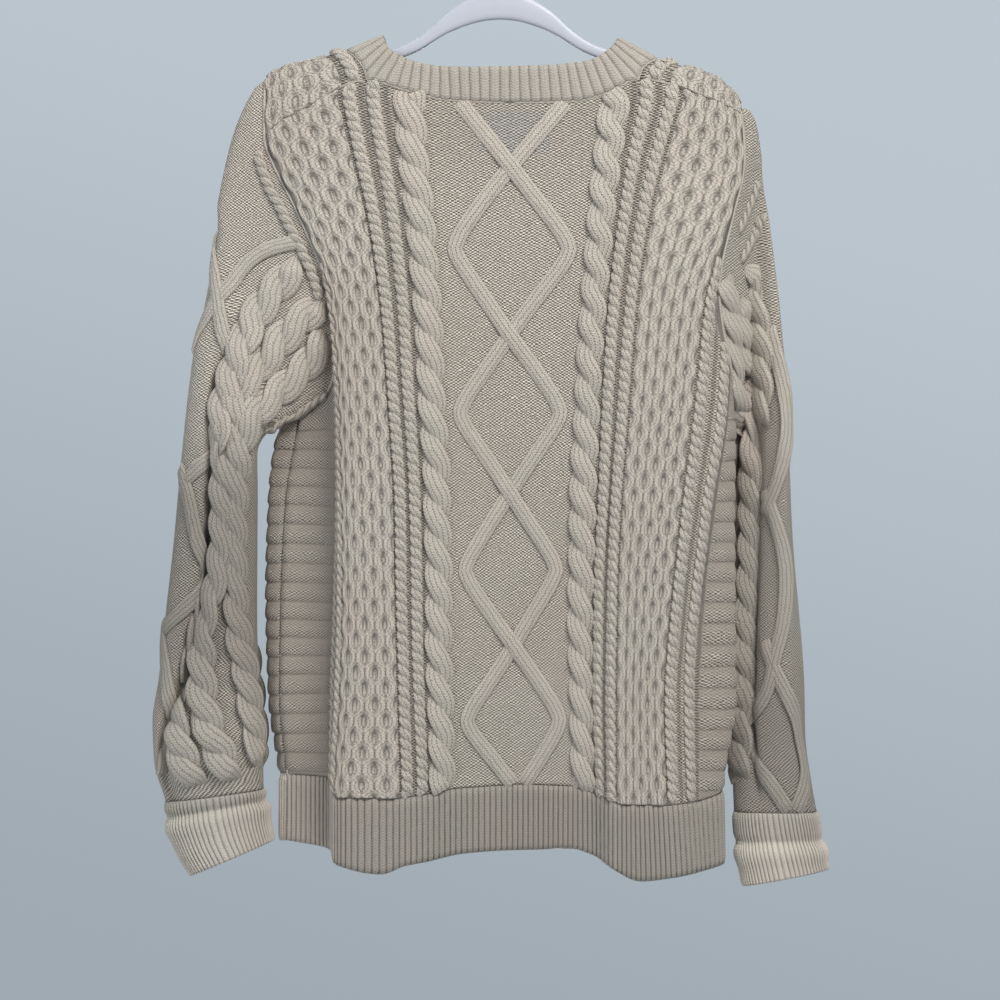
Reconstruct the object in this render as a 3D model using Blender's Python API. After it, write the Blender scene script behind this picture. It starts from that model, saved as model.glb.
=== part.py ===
"""Cable knit sweater on a flat plastic hanger.

The garment hangs with its back towards -Y. The origin is the inner top of the hanger's hook, +Z is up and
+X is the wearer's right. Sizes are in millimetres here and become metres when a mesh is made.

t is the drop below the hook (z = -t). s is a place across a panel, in millimetres of relaxed knitting from
its centre line: cables, ropes and honeycomb keep their real widths while the panel spreads or folds.
q is the path over the shoulder: 0 on the ridge, positive down the front, negative down the back.
"""

import math

import bmesh
import bpy
import numpy as np

MM = 0.001
WALL = 2.8
SEAM_GAP = 0.4
HEM_GAP = 0.8
MITRE = 2.5
HEM_MITRE = 1.2
SEAM_EDGE = 226.0
CENTRE_HALF = 51.0
HONEY_EDGE = 146.0
UNDERARM_T = 422.0
SHOULDER_S = 150.0
SETTLE_FROM = 150.0
SETTLE_OVER = 90.0
ARMHOLE_SQUEEZE = 0.07
UNDERARM_GAP = 2.5

CROSSINGS_T = (65, 208, 351, 484.5, 613.5, 738, 862)
DIAMOND_HALF = 41.0
STRAND_HALF = 6.6
STRAND_TIP = 0.8
STRAND_HEIGHT = 3.2
CABLE_LOBE = 28.6
CABLE_HEIGHT = 4.4
ROPE_HEIGHT = 3.2
HONEY_CELL = 26.2
HONEY_HEIGHT = 3.4
WELT_PITCH = 16.6
WELT_HEIGHT = 3.4

RIDGE_DEPTH = 45.0
RIDGE_PATH = 56.0
HANGER_GAP = 1.0
HOOK_RADIUS = 18.0
HOOK_WIRE = 3.0

ROPE_ROWS = 36.0
STRAP_LENGTH = 90.0
STRAP_STEP = 11.25
INNER_SIDE = (86, 98, 110, 122, 134, 145.5, 163, 178.5, 202, SEAM_EDGE)
INNER_MIDDLE = (-74, -51, -25, 0, 25, 51, 74)
INNER_HEM_LEFT = (-214, -202, -190, -178.5, -170, -163, -154, -145.5, -134, -122, -110, -98, -86, -74, -51)
INNER_HEM_MIDDLE = (-38, -25, -12, 0, 12, 25, 38)
INNER_HEM_RIGHT = (51, 62, 74, 86, 98, 110, 122, 134, 145.5, 154, 163, 178.5, 190, 202, 214)
BODY_LEVELS = (0, 0.12, 0.24, 0.36, 0.48, 0.6, 0.7, 0.8, 0.88, 0.95, 1)
STRAP_LEVELS = (1.12, 1.24, 1.36, 1.5, 1.64, 1.76, 1.88, 2)

RIB_WALL = 3.2
RIB_HEIGHT = 1.7
HEM_RIB_PITCH = 4.6
NECK_RIBS = 74
NECK_INNER = 44
BAND_SEAM_GAP = 1.5
CUFF_RIBS = 34
CUFF_INNER = 20
BAND_TURN_S = 62.0
BAND_SAMPLES = 601

SLEEVE_SQUARE = 0.85
SLEEVE_BLUNT = 0.65
EDGE_CROWDING = 0.22
CREASE_AT = -0.1
CREASE_WIDTH = 0.16
ARMHOLE_ROWS = 1.5
SLEEVE_START = 0.14
SLEEVE_MITRE = 0.5
SLEEVE_COLUMNS = 24
SLEEVE_ROWS = 28
SLEEVE_INNER_COLUMNS = 16
SLEEVE_INNER_ROWS = 12
SLEEVE_DIAMOND_ROWS = 5
SLEEVE_SWING = 3
SLEEVE_ROPES = (5, 8, 11)
SLEEVE_PLAIN_ROWS = 2

LABEL_HALF_WIDTH = 25.0
LABEL_TOP_T = 162.0
LABEL_HEIGHT = 36.0
LABEL_GAP = 0.3
LABEL_THICK = 0.8

HANGER_X = (0, 14, 28, 45, 60, 72, 84, 100, 115, 132, 150, 165, 177, 184, 187)
HANGER_LOW_X = (115, 132, 148, 177, 187)
HANGER_LOW = (0, 4.5, 0, 2, 5)
HANGER_NECK_X = (0, 12, 28, 45, 60, 72, 84, 100, 115)
HANGER_NECK_T = (56, 57, 63, 74, 88, 97, 103, 108, 111)
HANGER_DEEP_X = (0, 12, 28, 45, 60, 84, 172, 182, 187)
HANGER_DEEP = (24, 24, 22, 18, 13, 10, 10, 8, 4)
HANGER_HALF_THICK = 4.0
HANGER_SIDES = 8
HOOK_STEPS = 15
HOOK_SWEEP = 260.0

# The shoulder ridge on each side: distance from the middle and drop.
RIDGE_LEFT_X = (0, 132, 161, 183, 191, 199, 206, 211, 218, 226)
RIDGE_LEFT_T = (107, 107, 116, 121, 124.5, 130, 138, 145, 161, 176)
RIDGE_RIGHT_X = (0, 132, 161, 178, 187, 194, 200, 204, 208, 216)
RIDGE_RIGHT_T = (111, 114, 121.5, 127.5, 132.5, 138.5, 145, 151, 161, 178)

# Where the armhole cuts a panel: drop and s.
ARMHOLE_T = (150, 190, 260, 300, 340, 370, 395, 412, 422)
ARMHOLE_S = (152, 152, 153, 157, 165, 175, 191, 212, 226)

# Sections of the back: each row is a drop, and each column is one edge of the stitch pattern.
BACK_S = (-226, -177, -146, -97, -51, 0, 51, 72, 97, 146, 177, 205, 226)
BACK_ACROSS = {
    # t: seam, valley, fold, honey, cable, mid, cable, ropes, honey, fold, welt, side, seam
    150: (-250, -228, -209, -138, -61, 8.5, 82, 113, 156, 203, 214, 221, 226),
    201: (-240, -206, -191, -126, -58, 9, 78, 104, 141, 206, 213, 218, 222),
    252: (-225, -176, -167, -114, -54, 9, 74, 97, 129, 194, 205, 210, 213),
    320: (-200, -147, -142, -103, -49, 8.5, 69, 90, 118, 172, 197, 205, 208),
    405: (-171, -139, -135, -96, -46, 8.5, 64, 84, 111, 162, 194, 200, 198),
    490: (-183, -138, -133, -91, -42, 8.5, 59, 81, 104, 152, 183, 199, 196),
    575: (-187, -141, -132, -89, -41, 10, 58, 78, 100, 143, 173, 200, 196),
    660: (-188, -144, -134, -87, -40, 13, 60, 77, 99, 137, 168, 200, 197),
    733: (-182, -144, -138, -85, -38, 15, 62, 80, 99, 139, 168, 190, 187),
    815: (-183, -144, -138, -85, -38, 15, 62, 81, 99, 143, 172, 191, 188),
}
BACK_DEPTH = {
    150: (6, 0, -14, -18, -18, -16, -18, -18, -18, -10, -2, 6, 20),
    201: (6, -4, -20, -25, -24, -22, -24, -25, -25, -14, -6, 6, 20),
    252: (4, -8, -26, -30, -28, -25, -28, -29, -31, -22, -10, 6, 20),
    320: (4, -8, -33, -34, -30, -26, -30, -33, -35, -32, -12, 6, 20),
    405: (4, -9, -38, -37, -31, -26, -31, -35, -38, -34, -20, 0, 20),
    490: (3, -10, -40, -38, -31, -26, -31, -34, -38, -34, -21, -2, 18),
    575: (2, -10, -42, -39, -31, -25, -30, -30, -37, -34, -20, -2, 17),
    660: (0, -10, -44, -41, -30, -24, -28, -27, -38, -37, -22, -2, 16),
    733: (0, -12, -45, -44, -28, -20, -26, -27, -42, -42, -24, -2, 15),
    815: (0, -14, -44, -45, -24, -16, -22, -26, -44, -44, -26, 0, 14),
}

# Sections of the front, between the same seams.
FRONT_S = (-226, -208, -190, -150, -100, -50, 0, 50, 100, 150, 190, 208, 226)
FRONT_ACROSS = {
    # t: seam, side, turn, welt, honey, cable, mid, cable, honey, welt, turn, side, seam
    200: (-220, -215, -209, -189, -124, -60, 9, 76, 139, 193, 207, 211, 216),
    280: (-192, -190, -187, -170, -113, -55, 9, 70, 128, 182, 196, 200, 204),
    350: (-172, -175, -177, -167, -110, -54, 7, 67, 125, 178, 192, 198, 202),
    405: (-171, -177, -183, -165, -108, -52, 6, 64, 122, 178, 194, 199, 198),
    448: (-176, -193, -193, -164, -107, -52, 6, 64, 121, 176, 193, 200, 197),
    490: (-183, -197, -196, -162, -107, -51, 7, 63, 119, 173, 192, 199, 196),
    575: (-187, -199, -195, -160, -106, -50, 8, 62, 116, 168, 190, 198, 196),
    660: (-188, -197, -191, -156, -104, -49, 8, 61, 114, 164, 188, 197, 197),
    733: (-182, -188, -183, -152, -103, -48, 8, 60, 112, 160, 183, 189, 187),
    815: (-183, -188, -182, -151, -102, -48, 8, 60, 112, 160, 184, 190, 188),
}
FRONT_DEPTH = {
    200: (10, 18, 22, 25, 26, 26, 26, 26, 26, 25, 24, 22, 20),
    280: (8, 16, 22, 28, 31, 31, 30, 31, 31, 29, 27, 24, 20),
    350: (6, 14, 23, 33, 35, 32, 34, 32, 35, 36, 34, 28, 20),
    405: (4, 12, 23, 37, 38, 33, 37, 33, 38, 42, 40, 31, 20),
    448: (4, 10, 24, 38, 37, 34, 37, 34, 38, 42, 40, 31, 19),
    490: (3, 10, 26, 38, 36, 35, 36, 36, 37, 42, 40, 30, 18),
    575: (2, 10, 26, 38, 33, 38, 34, 39, 35, 42, 39, 30, 17),
    660: (0, 9, 25, 37, 30, 40, 33, 41, 32, 41, 38, 29, 16),
    733: (0, 8, 22, 36, 28, 41, 32, 42, 30, 39, 36, 28, 15),
    815: (0, 8, 22, 36, 27, 42, 31, 43, 29, 39, 36, 28, 14),
}

# Seam lines over the panels, as s and drop.
BACK_TOP_S = (-150, -146, -115, -82, -60, -40, 0, 40, 55, 75, 110, 146, 150)
BACK_TOP_T = (184, 181, 158, 134.5, 144, 151, 153, 152, 146, 133.5, 148, 163, 166)
BACK_HEM_S = (-226, -178.5, -163, -145.5, -98, -74, -51, 0, 51, 74, 98, 145.5, 178.5, 202, 226)
BACK_HEM_T = (725, 727, 733, 741, 742, 739, 735, 732, 733, 740, 747, 748, 746, 740, 733)
BACK_BOTTOM_S = (-226, -177, -140, -110, -92, -72, -45, -15, 20, 45, 70, 90, 120, 150, 180, 226)
BACK_BOTTOM_T = (781, 788, 798, 805, 798, 795, 790, 788, 787, 785, 791, 800, 811, 808, 804, 797)
FRONT_HEM_S = (-226, -145.5, -51, 0, 51, 145.5, 226)
FRONT_HEM_T = (725, 729, 733, 729, 734, 732, 733)
FRONT_BOTTOM_S = (-226, -150, -50, 0, 50, 150, 226)
FRONT_BOTTOM_T = (781, 786, 792, 787, 793, 790, 797)
FRONT_NECK_S = (0, 20, 40, 60, 75, 84)
FRONT_NECK_T = (228, 226, 214, 188, 160, 140)
NECK_STRAP_S = 84.0
NECK_RIDGE_LEFT = 93.0
NECK_RIDGE_RIGHT = 84.5
NECK_STRAP_Q = 42.0
NECK_CORNER_LEFT = 82.0
NECK_CORNER_RIGHT = 75.0

# Neckband stations round the opening: its free edge as x, depth and drop.
BAND_FREE_EDGE = (
    # name, x, y, t
    ("back middle", 8, -17, 122),
    ("back left", -58, -15, 121),
    ("left back corner", -92, -9, 108),
    ("left top", -99, 2, 94),
    ("left front", -91, 15, 112),
    ("front left", -62, 24, 160),
    ("front middle", 8, 29, 196),
    ("front right", 78, 24, 160),
    ("right front", 100, 15, 113),
    ("right top", 101, 2, 96),
    ("right back corner", 93, -9, 106),
    ("back right", 70, -15, 118),
)

# Sleeve sections from the armhole to the cuff seam: the outer and inner edges of the folded tube, its
# half thickness towards the back and towards the front, and the depth of its main crease.
LEFT_SLEEVE = (
    # outer x, y, t; inner x, y, t; back, front, crease
    (-221, 0, 172, -171, 4, 422, 20, 20, 0),
    (-234, 2, 218, -184, -8, 421, 18, 18, 0),
    (-240, 2, 261, -190, -11, 427, 22, 16, 2),
    (-246, 2, 295, -197, -12, 433, 25, 15, 6),
    (-252, 2, 329, -203, -10, 440, 27, 16, 9),
    (-260, 2, 363, -207, -8, 449, 28, 20, 11),
    (-266, 3, 405, -208, -4, 465, 29, 25, 12),
    (-272, 4, 455, -208, 2, 490, 29, 29, 12),
    (-279, 4, 529, -208, 4, 541, 29, 30, 13),
    (-285, 4, 584, -208, 4, 588, 30, 31, 13),
    (-291, 4, 640, -207, 4, 640, 31, 32, 13),
    (-297, 4, 680, -205, 4, 680, 33, 34, 12),
    (-296, 4, 712, -203, 4, 708, 32, 33, 9),
    (-286, 4, 748, -202, 4, 737, 24, 25, 3),
)
RIGHT_SLEEVE = (
    (212, 0, 168, 198, 20, 422, 12, 12, 0),
    (217, 14, 186, 211, 33, 427, 13, 20, 0),
    (224, 14, 214, 209, 43, 438, 12, 24, 1),
    (230, 12, 245, 207, 50, 451, 12, 26, 3),
    (234, 10, 278, 205, 54, 470, 12, 27, 5),
    (241, 8, 340, 204, 56, 500, 12, 28, 7),
    (246, 6, 405, 203, 56, 530, 12, 30, 8),
    (247, 6, 470, 200, 56, 560, 12, 31, 9),
    (248, 6, 530, 200, 56, 590, 12, 31, 9),
    (250, 6, 590, 200, 55, 620, 12, 31, 9),
    (254, 6, 640, 200, 52, 652, 13, 31, 9),
    (258, 6, 690, 201, 44, 688, 15, 29, 8),
    (264, 6, 728, 202, 32, 722, 18, 25, 5),
    (271, 6, 757, 202, 22, 758, 19, 21, 1),
)
# Cuff sections, below the sleeve: the same columns without the crease.
LEFT_CUFF = (
    (-286, 4, 748.8, -202, 4, 737.8, 24, 25),
    (-283, 4, 768, -200, 4, 752, 21, 22),
    (-276, 4, 790, -197, 4, 768, 22, 23),
    (-264, 4, 811, -194, 4, 781, 22, 23),
)
RIGHT_CUFF = (
    (271, 6, 757.8, 202, 22, 758.8, 19, 21),
    (274, 6, 776, 203, 20, 778, 18, 19),
    (278, 6, 795, 206, 16, 800, 19, 20),
    (281, 6, 806, 209, 14, 821, 19, 20),
)

CREAM = (0.77, 0.70, 0.60)
PALE_CREAM = (0.80, 0.73, 0.63)
LABEL_WHITE = (0.82, 0.82, 0.80)
PLASTIC_WHITE = (0.84, 0.84, 0.88)


def smooth(xs, ys, at):
    """A curve through the points that never swings past them (monotone cubic)."""
    xs = np.asarray(xs, float)
    ys = np.asarray(ys, float)
    at = np.clip(np.asarray(at, float), xs[0], xs[-1])
    step = np.diff(xs)
    slope = np.diff(ys) / step
    tangent = np.zeros(len(xs))
    same = slope[:-1] * slope[1:] > 0
    weight_a = 2 * step[1:] + step[:-1]
    weight_b = step[1:] + 2 * step[:-1]
    safe_a = np.where(same, slope[:-1], 1.0)
    safe_b = np.where(same, slope[1:], 1.0)
    harmonic = (weight_a + weight_b) / (weight_a / safe_a + weight_b / safe_b)
    tangent[1:-1] = np.where(same, harmonic, 0.0)
    tangent[0], tangent[-1] = slope[0], slope[-1]
    i = np.clip(np.searchsorted(xs, at, side="right") - 1, 0, len(xs) - 2)
    h = step[i]
    f = (at - xs[i]) / h
    return (
        ys[i] * (1 + 2 * f) * (1 - f) ** 2
        + tangent[i] * h * f * (1 - f) ** 2
        + ys[i + 1] * f * f * (3 - 2 * f)
        + tangent[i + 1] * h * f * f * (f - 1)
    )


class Sections:
    """A table of sections made into a dense grid, read at any s and t."""

    S_STEP = 2.0
    T_STEP = 4.0

    def __init__(self, columns, rows):
        drops = np.array(sorted(rows), float)
        values = np.array([rows[t] for t in sorted(rows)], float)
        self.s = np.arange(columns[0], columns[-1] + self.S_STEP, self.S_STEP)
        self.t = np.arange(drops[0], drops[-1] + self.T_STEP, self.T_STEP)
        down = np.array([smooth(drops, values[:, i], self.t) for i in range(len(columns))])
        self.grid = np.array([smooth(columns, down[:, j], self.s) for j in range(len(self.t))])

    def at(self, s, t):
        fs = np.clip((np.asarray(s, float) - self.s[0]) / self.S_STEP, 0, len(self.s) - 1.001)
        ft = np.clip((np.asarray(t, float) - self.t[0]) / self.T_STEP, 0, len(self.t) - 1.001)
        i, j = fs.astype(int), ft.astype(int)
        a, b = fs - i, ft - j
        g = self.grid
        low = g[j, i] * (1 - a) + g[j, i + 1] * a
        high = g[j + 1, i] * (1 - a) + g[j + 1, i + 1] * a
        return low * (1 - b) + high * b


BACK_X, BACK_Y = Sections(BACK_S, BACK_ACROSS), Sections(BACK_S, BACK_DEPTH)
FRONT_X, FRONT_Y = Sections(FRONT_S, FRONT_ACROSS), Sections(FRONT_S, FRONT_DEPTH)


def ridge_t(x):
    left = smooth(RIDGE_LEFT_X, RIDGE_LEFT_T, -np.asarray(x, float))
    right = smooth(RIDGE_RIGHT_X, RIDGE_RIGHT_T, x)
    mix = np.clip((np.asarray(x, float) + 60) / 120, 0, 1)
    return left * (1 - mix) + right * mix


def arch(drop):
    """How far the cloth has left the ridge, 0 on it and 1 from RIDGE_DEPTH down."""
    f = np.clip(drop / RIDGE_DEPTH, 0, 1)
    return np.sqrt(np.maximum(1 - (1 - f) ** 2, 0))


def points(x, y, t):
    return np.stack(np.broadcast_arrays(x, y, -np.asarray(t, float)), axis=-1)


def back_surface(s, t):
    x = BACK_X.at(s, t)
    return points(x, BACK_Y.at(s, t) * arch(t - ridge_t(x)), t)


def back_top_t(s):
    return smooth(BACK_TOP_S, BACK_TOP_T, s)


def strap_x(s):
    """Where a column of the front crosses the shoulder seam, and so the ridge."""
    return BACK_X.at(s, back_top_t(s))


def ridge_over(s):
    """The ridge's drop above a column of the front."""
    return ridge_t(strap_x(np.clip(s, -SHOULDER_S, SHOULDER_S)))


def front_t(s, q):
    over = np.clip(np.abs(q) / RIDGE_PATH, 0, 1) * math.pi / 2
    return ridge_over(s) + RIDGE_DEPTH * (1 - np.cos(over)) + np.maximum(np.abs(q) - RIDGE_PATH, 0)


def front_surface(s, q):
    """The front at path q: 0 on the shoulder ridge, positive down the front, negative down the back."""
    s, q = np.broadcast_arrays(np.asarray(s, float), np.asarray(q, float))
    over = np.clip(np.abs(q) / RIDGE_PATH, 0, 1) * math.pi / 2
    t = front_t(s, q)
    settle = np.clip((t - SETTLE_FROM) / SETTLE_OVER, 0, 1) * (q > 0)
    settle = settle * settle * (3 - 2 * settle)
    x = strap_x(s) * (1 - settle) + FRONT_X.at(s, t) * settle
    depth = np.where(q > 0, FRONT_Y.at(s, t), -BACK_Y.at(s, back_top_t(s)))
    return points(x, depth * np.sin(over) * np.sign(q), t)


def path_at_drop(s, drop):
    """The path length from the ridge to a drop below it."""
    bend = np.arccos(np.clip(1 - drop / RIDGE_DEPTH, 0, 1)) * RIDGE_PATH / (math.pi / 2)
    return bend + np.maximum(drop - RIDGE_DEPTH, 0)


def front_q(s, t):
    return path_at_drop(s, t - ridge_over(s))


def seam_q(s):
    """The path at which a shoulder column of the front meets the shoulder seam."""
    return -path_at_drop(s, back_top_t(s) - ridge_t(strap_x(s)))


def normals(surface, s, v):
    """Unit normals of a surface, away from the garment's middle."""
    h = 2.0
    across = surface(s + h, v) - surface(s - h, v)
    down = surface(s, v + h) - surface(s, v - h)
    n = np.cross(down, across) if surface is back_surface else np.cross(across, down)
    return n / np.maximum(np.linalg.norm(n, axis=-1, keepdims=True), 1e-9)


def diamond_half(t):
    """How far the two crossing strands stand from the middle: 0 at a crossing, DIAMOND_HALF at a corner."""
    phase = np.interp(t, CROSSINGS_T, range(len(CROSSINGS_T))) % 1.0
    return DIAMOND_HALF * np.minimum((1 - np.abs(2 * phase - 1)) * 1.05, 1.0)


def strands(s, t):
    """The two strands of the middle panel, as a height over it."""
    off = (np.abs(s) - diamond_half(t)) / STRAND_HALF
    return STRAND_HEIGHT * np.sqrt(np.maximum(1 - off * off, 0))


def cable_height(row, column):
    """A rope of two thick strands: its crown wanders from side to side, a lobe every second row."""
    crown = 0.2 * (1 if row % 2 else -1)
    return CABLE_HEIGHT * (0.4, 0.8 - crown, 0.8 + crown, 0.4)[column]


def rope_height(row, column):
    return ROPE_HEIGHT * (0.35, 1.0, 0.35)[column]


def honey_height(row, column):
    """Raised where two strands meet, low in the middle of each cell, turn and turn about."""
    return HONEY_HEIGHT * (1.0 if (row + column) % 2 else 0.1)


def welt_height(row, column):
    return WELT_HEIGHT * (row % 2)


# The bands of one half of a panel, from its middle: columns of s, row spacing, height.
BANDS = (
    ((51.6, 57.5, 65.5, 71.4), CABLE_LOBE / 2, cable_height),
    ((74, 78.5, 83), ROPE_ROWS, rope_height),
    ((86, 90.5, 95), ROPE_ROWS, rope_height),
    ((98, 106, 114, 122, 130, 138, 145.5), HONEY_CELL / 2, honey_height),
    ((147.5, 152.5, 158), ROPE_ROWS, rope_height),
    ((163, 168.5, 174), ROPE_ROWS, rope_height),
    ((178.5, 202, SEAM_EDGE), WELT_PITCH / 2, welt_height),
)
STRAP_BANDS = 2
CENTRE_COLUMNS = 9


def armhole_s(t):
    return smooth(ARMHOLE_T, ARMHOLE_S, t)


def cut_by_armhole(s, t):
    """A column keeps its place until it meets the armhole, then runs beside it in its order."""
    near_underarm = np.clip(1 - np.abs(t - UNDERARM_T + 10) / 28, 0, 1)
    edge = armhole_s(t) - SEAM_GAP - UNDERARM_GAP * near_underarm - (SEAM_EDGE - np.abs(s)) * ARMHOLE_SQUEEZE
    return np.sign(s) * np.where(np.abs(s) > HONEY_EDGE, np.minimum(np.abs(s), edge), np.abs(s))


def fade_at_armhole(s, t):
    """Relief dies out at the armhole, and at the edge just below the underarm."""
    below = np.clip((t - UNDERARM_T - 4) / 20, 0, 1)
    return np.clip((armhole_s(t) - np.abs(s) + 4) / 8, 0, 1) * np.where(np.abs(s) < SEAM_EDGE - 30, 1, below)


class Shell:
    """Collects the points and faces of one closed piece."""

    def __init__(self, name):
        self.name = name
        self.points = []
        self.faces = []

    def add(self, block):
        """Adds a block of points and returns their numbers in the same layout."""
        block = np.asarray(block, float)
        first = len(self.points)
        self.points.extend(block.reshape(-1, 3))
        return np.arange(first, len(self.points)).reshape(block.shape[:-1])

    def quads(self, ids, round_first=False, lift=None):
        """Faces over a grid of points, closed round its first axis if asked.

        With the points' lift given, each face is split so that its two most raised corners are joined.
        """
        rows = np.vstack([ids, ids[:1]]) if round_first else ids
        if lift is None:
            lift = np.zeros(ids.shape)
        raised = np.vstack([lift, lift[:1]]) if round_first else lift
        for i in range(len(rows) - 1):
            for j in range(rows.shape[1] - 1):
                a, b, c, d = rows[i, j], rows[i + 1, j], rows[i + 1, j + 1], rows[i, j + 1]
                if raised[i, j] + raised[i + 1, j + 1] >= raised[i + 1, j] + raised[i, j + 1]:
                    self.faces += [(a, b, c), (a, c, d)]
                else:
                    self.faces += [(a, b, d), (b, c, d)]

    def band(self, left, right, left_at=None, right_at=None):
        """Triangles between two rows of unlike length, matched by their places along it."""
        left_at = share(range(len(left)) if left_at is None else left_at)
        right_at = share(range(len(right)) if right_at is None else right_at)
        i = j = 0
        while i < len(left) - 1 or j < len(right) - 1:
            if j == len(right) - 1 or (i < len(left) - 1 and left_at[i + 1] <= right_at[j + 1]):
                self.faces.append((left[i], right[j], left[i + 1]))
                i += 1
            else:
                self.faces.append((left[i], right[j], right[j + 1]))
                j += 1

    def build(self, material, parts):
        mesh = bpy.data.meshes.new(self.name)
        mesh.from_pydata([tuple(p * MM) for p in self.points], [], self.faces)
        shape = bmesh.new()
        shape.from_mesh(mesh)
        bmesh.ops.triangulate(shape, faces=shape.faces)
        bmesh.ops.recalc_face_normals(shape, faces=shape.faces)
        if shape.calc_volume(signed=True) < 0:
            bmesh.ops.reverse_faces(shape, faces=shape.faces)
        shape.to_mesh(mesh)
        shape.free()
        mesh.shade_smooth()
        mesh.set_sharp_from_angle(angle=math.radians(50))
        mesh.materials.append(material)
        piece = bpy.data.objects.new(self.name, mesh)
        parts.objects.link(piece)
        return piece


def share(values):
    """Places along a row as shares of its length."""
    values = np.asarray(values, float)
    return (values - values[0]) / (values[-1] - values[0])


def levels(length, step):
    return np.linspace(0, 1, max(2, round(length / step)) + 1)


class Back:
    """Places on the back: level 0 is the hem seam, 1 is the neck or shoulder seam."""

    surface = staticmethod(back_surface)
    side_rows = 12

    @staticmethod
    def ends(s0):
        top_s = np.clip(s0, -SHOULDER_S, SHOULDER_S)
        return np.interp(s0, BACK_HEM_S, BACK_HEM_T) - HEM_GAP, back_top_t(top_s) + SEAM_GAP

    @classmethod
    def place(cls, s0, level):
        low, high = cls.ends(s0)
        t = low + (high - low) * level
        return cut_by_armhole(s0, t), t

    drop = staticmethod(lambda s, v: v)


class Front:
    """Places on the front: level 0 is the hem seam, 1 the neck line, 2 the shoulder seam of a strap."""

    surface = staticmethod(front_surface)
    side_rows = 12

    @staticmethod
    def place(s0, level):
        s0, level = np.broadcast_arrays(np.asarray(s0, float), np.asarray(level, float))
        out = np.abs(s0)
        hem_q = front_q(s0, np.interp(s0, FRONT_HEM_S, FRONT_HEM_T) - HEM_GAP)
        neck_t = smooth(FRONT_NECK_S, FRONT_NECK_T, out) + SEAM_GAP
        neck_q = np.where(out < NECK_STRAP_S, front_q(s0, neck_t), NECK_STRAP_Q)
        low_q = hem_q + (neck_q - hem_q) * np.clip(level, 0, 1)
        up = np.clip(level - 1, 0, 1)
        corner = np.where(s0 < 0, NECK_CORNER_LEFT, NECK_CORNER_RIGHT)
        ridge = np.where(s0 < 0, NECK_RIDGE_LEFT, NECK_RIDGE_RIGHT)
        rise = np.interp(up, (0, 0.25, 0.5), (0, 0.7, 1)) * (ridge - NECK_STRAP_S)
        fall = np.clip(2 * up - 1, 0, 1)
        fall = fall * fall * (3 - 2 * fall) * (ridge - corner)
        hold = np.clip((SHOULDER_S - out) / (SHOULDER_S - NECK_STRAP_S), 0, 1)
        s_end = np.sign(s0) * np.minimum(out + (corner - NECK_STRAP_S) * hold, SHOULDER_S)
        end_q = seam_q(s_end) + SEAM_GAP
        s = np.sign(s0) * (out + (rise - fall) * hold)
        q = np.where(level <= 1, low_q, NECK_STRAP_Q + (end_q - NECK_STRAP_Q) * up)
        return cut_by_armhole(s, front_t(s, q)), q

    drop = staticmethod(front_t)


def centre_columns(t):
    """Columns of the middle band at each drop: they follow the two strands, so their crowns stay sharp."""
    half = diamond_half(t)
    outer = half + STRAND_HALF
    crown = np.maximum(half, 2 * STRAND_TIP)
    inner = np.maximum(half - STRAND_HALF, STRAND_TIP)
    edge = np.full_like(t, CENTRE_HALF - 0.4)
    return np.stack([-edge, -outer, -crown, -inner, 0 * t, inner, crown, outer, edge])


def centre_band(panel):
    """The middle band: rows at every quarter of a diamond, and one along each end."""
    quarters = np.interp(np.arange(0, 6, 0.25), range(len(CROSSINGS_T)), CROSSINGS_T)
    low, high = centre_end(panel, 0.0, 733.0), centre_end(panel, 1.0, 190.0)
    inside = quarters[(quarters > high.max() + 6) & (quarters < low.min() - 6)][::-1]
    t = np.vstack([low, np.tile(inside[:, None], (1, CENTRE_COLUMNS)), high]).T
    s = np.array([centre_columns(t[i])[i] for i in range(CENTRE_COLUMNS)])
    v = t if panel is Back else front_q(s, t)
    return s, v, strands(s, t), (t[0, 0] - t[0]) / (t[0, 0] - t[0, -1])


def centre_end(panel, level, near_t):
    """The drop at which each column of the middle band meets a seam."""
    t = np.full(CENTRE_COLUMNS, near_t)
    for _ in range(6):
        s = np.diagonal(centre_columns(t))
        t = panel.drop(*panel.place(s, level))
    return t


def side_band(panel, band, sign):
    """One upright band of the stitch pattern on one half of a panel, from its inner edge outwards."""
    columns, step, height = band
    strap = panel is Front and columns[0] > NECK_STRAP_S
    s0 = sign * np.array(columns, float)
    middle = s0[len(s0) // 2]
    low, high = (panel.drop(*panel.place(middle, level)) for level in (0.0, 1.0))
    level = levels(float(low - high), step)
    if height is welt_height:
        below = float(low - UNDERARM_T) / float(low - high)
        level = np.concatenate([levels(float(low - UNDERARM_T), step) * below,
                                below + levels(200, HONEY_CELL)[1:] * (1 - below)])
    if strap:
        level = np.concatenate([level, 1 + levels(STRAP_LENGTH, STRAP_STEP)[1:]])
    s, v = panel.place(s0[:, None], level[None, :])
    rows, cols = np.arange(len(level)), np.arange(len(columns))
    lift = np.array([[height(r, c) for r in rows] for c in cols])
    lift = lift * fade_at_armhole(s0[:, None], panel.drop(s, v))
    return s, v, lift, level


def lifted(surface, s, v, lift):
    return surface(s, v) + normals(surface, s, v) * np.asarray(lift)[..., None]


def keep_level(block, row, drop):
    """Puts one row of a block back at its drop, so that the relief doesn't tilt it over the seam."""
    block[:, row, 2] = -drop
    return block


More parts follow.
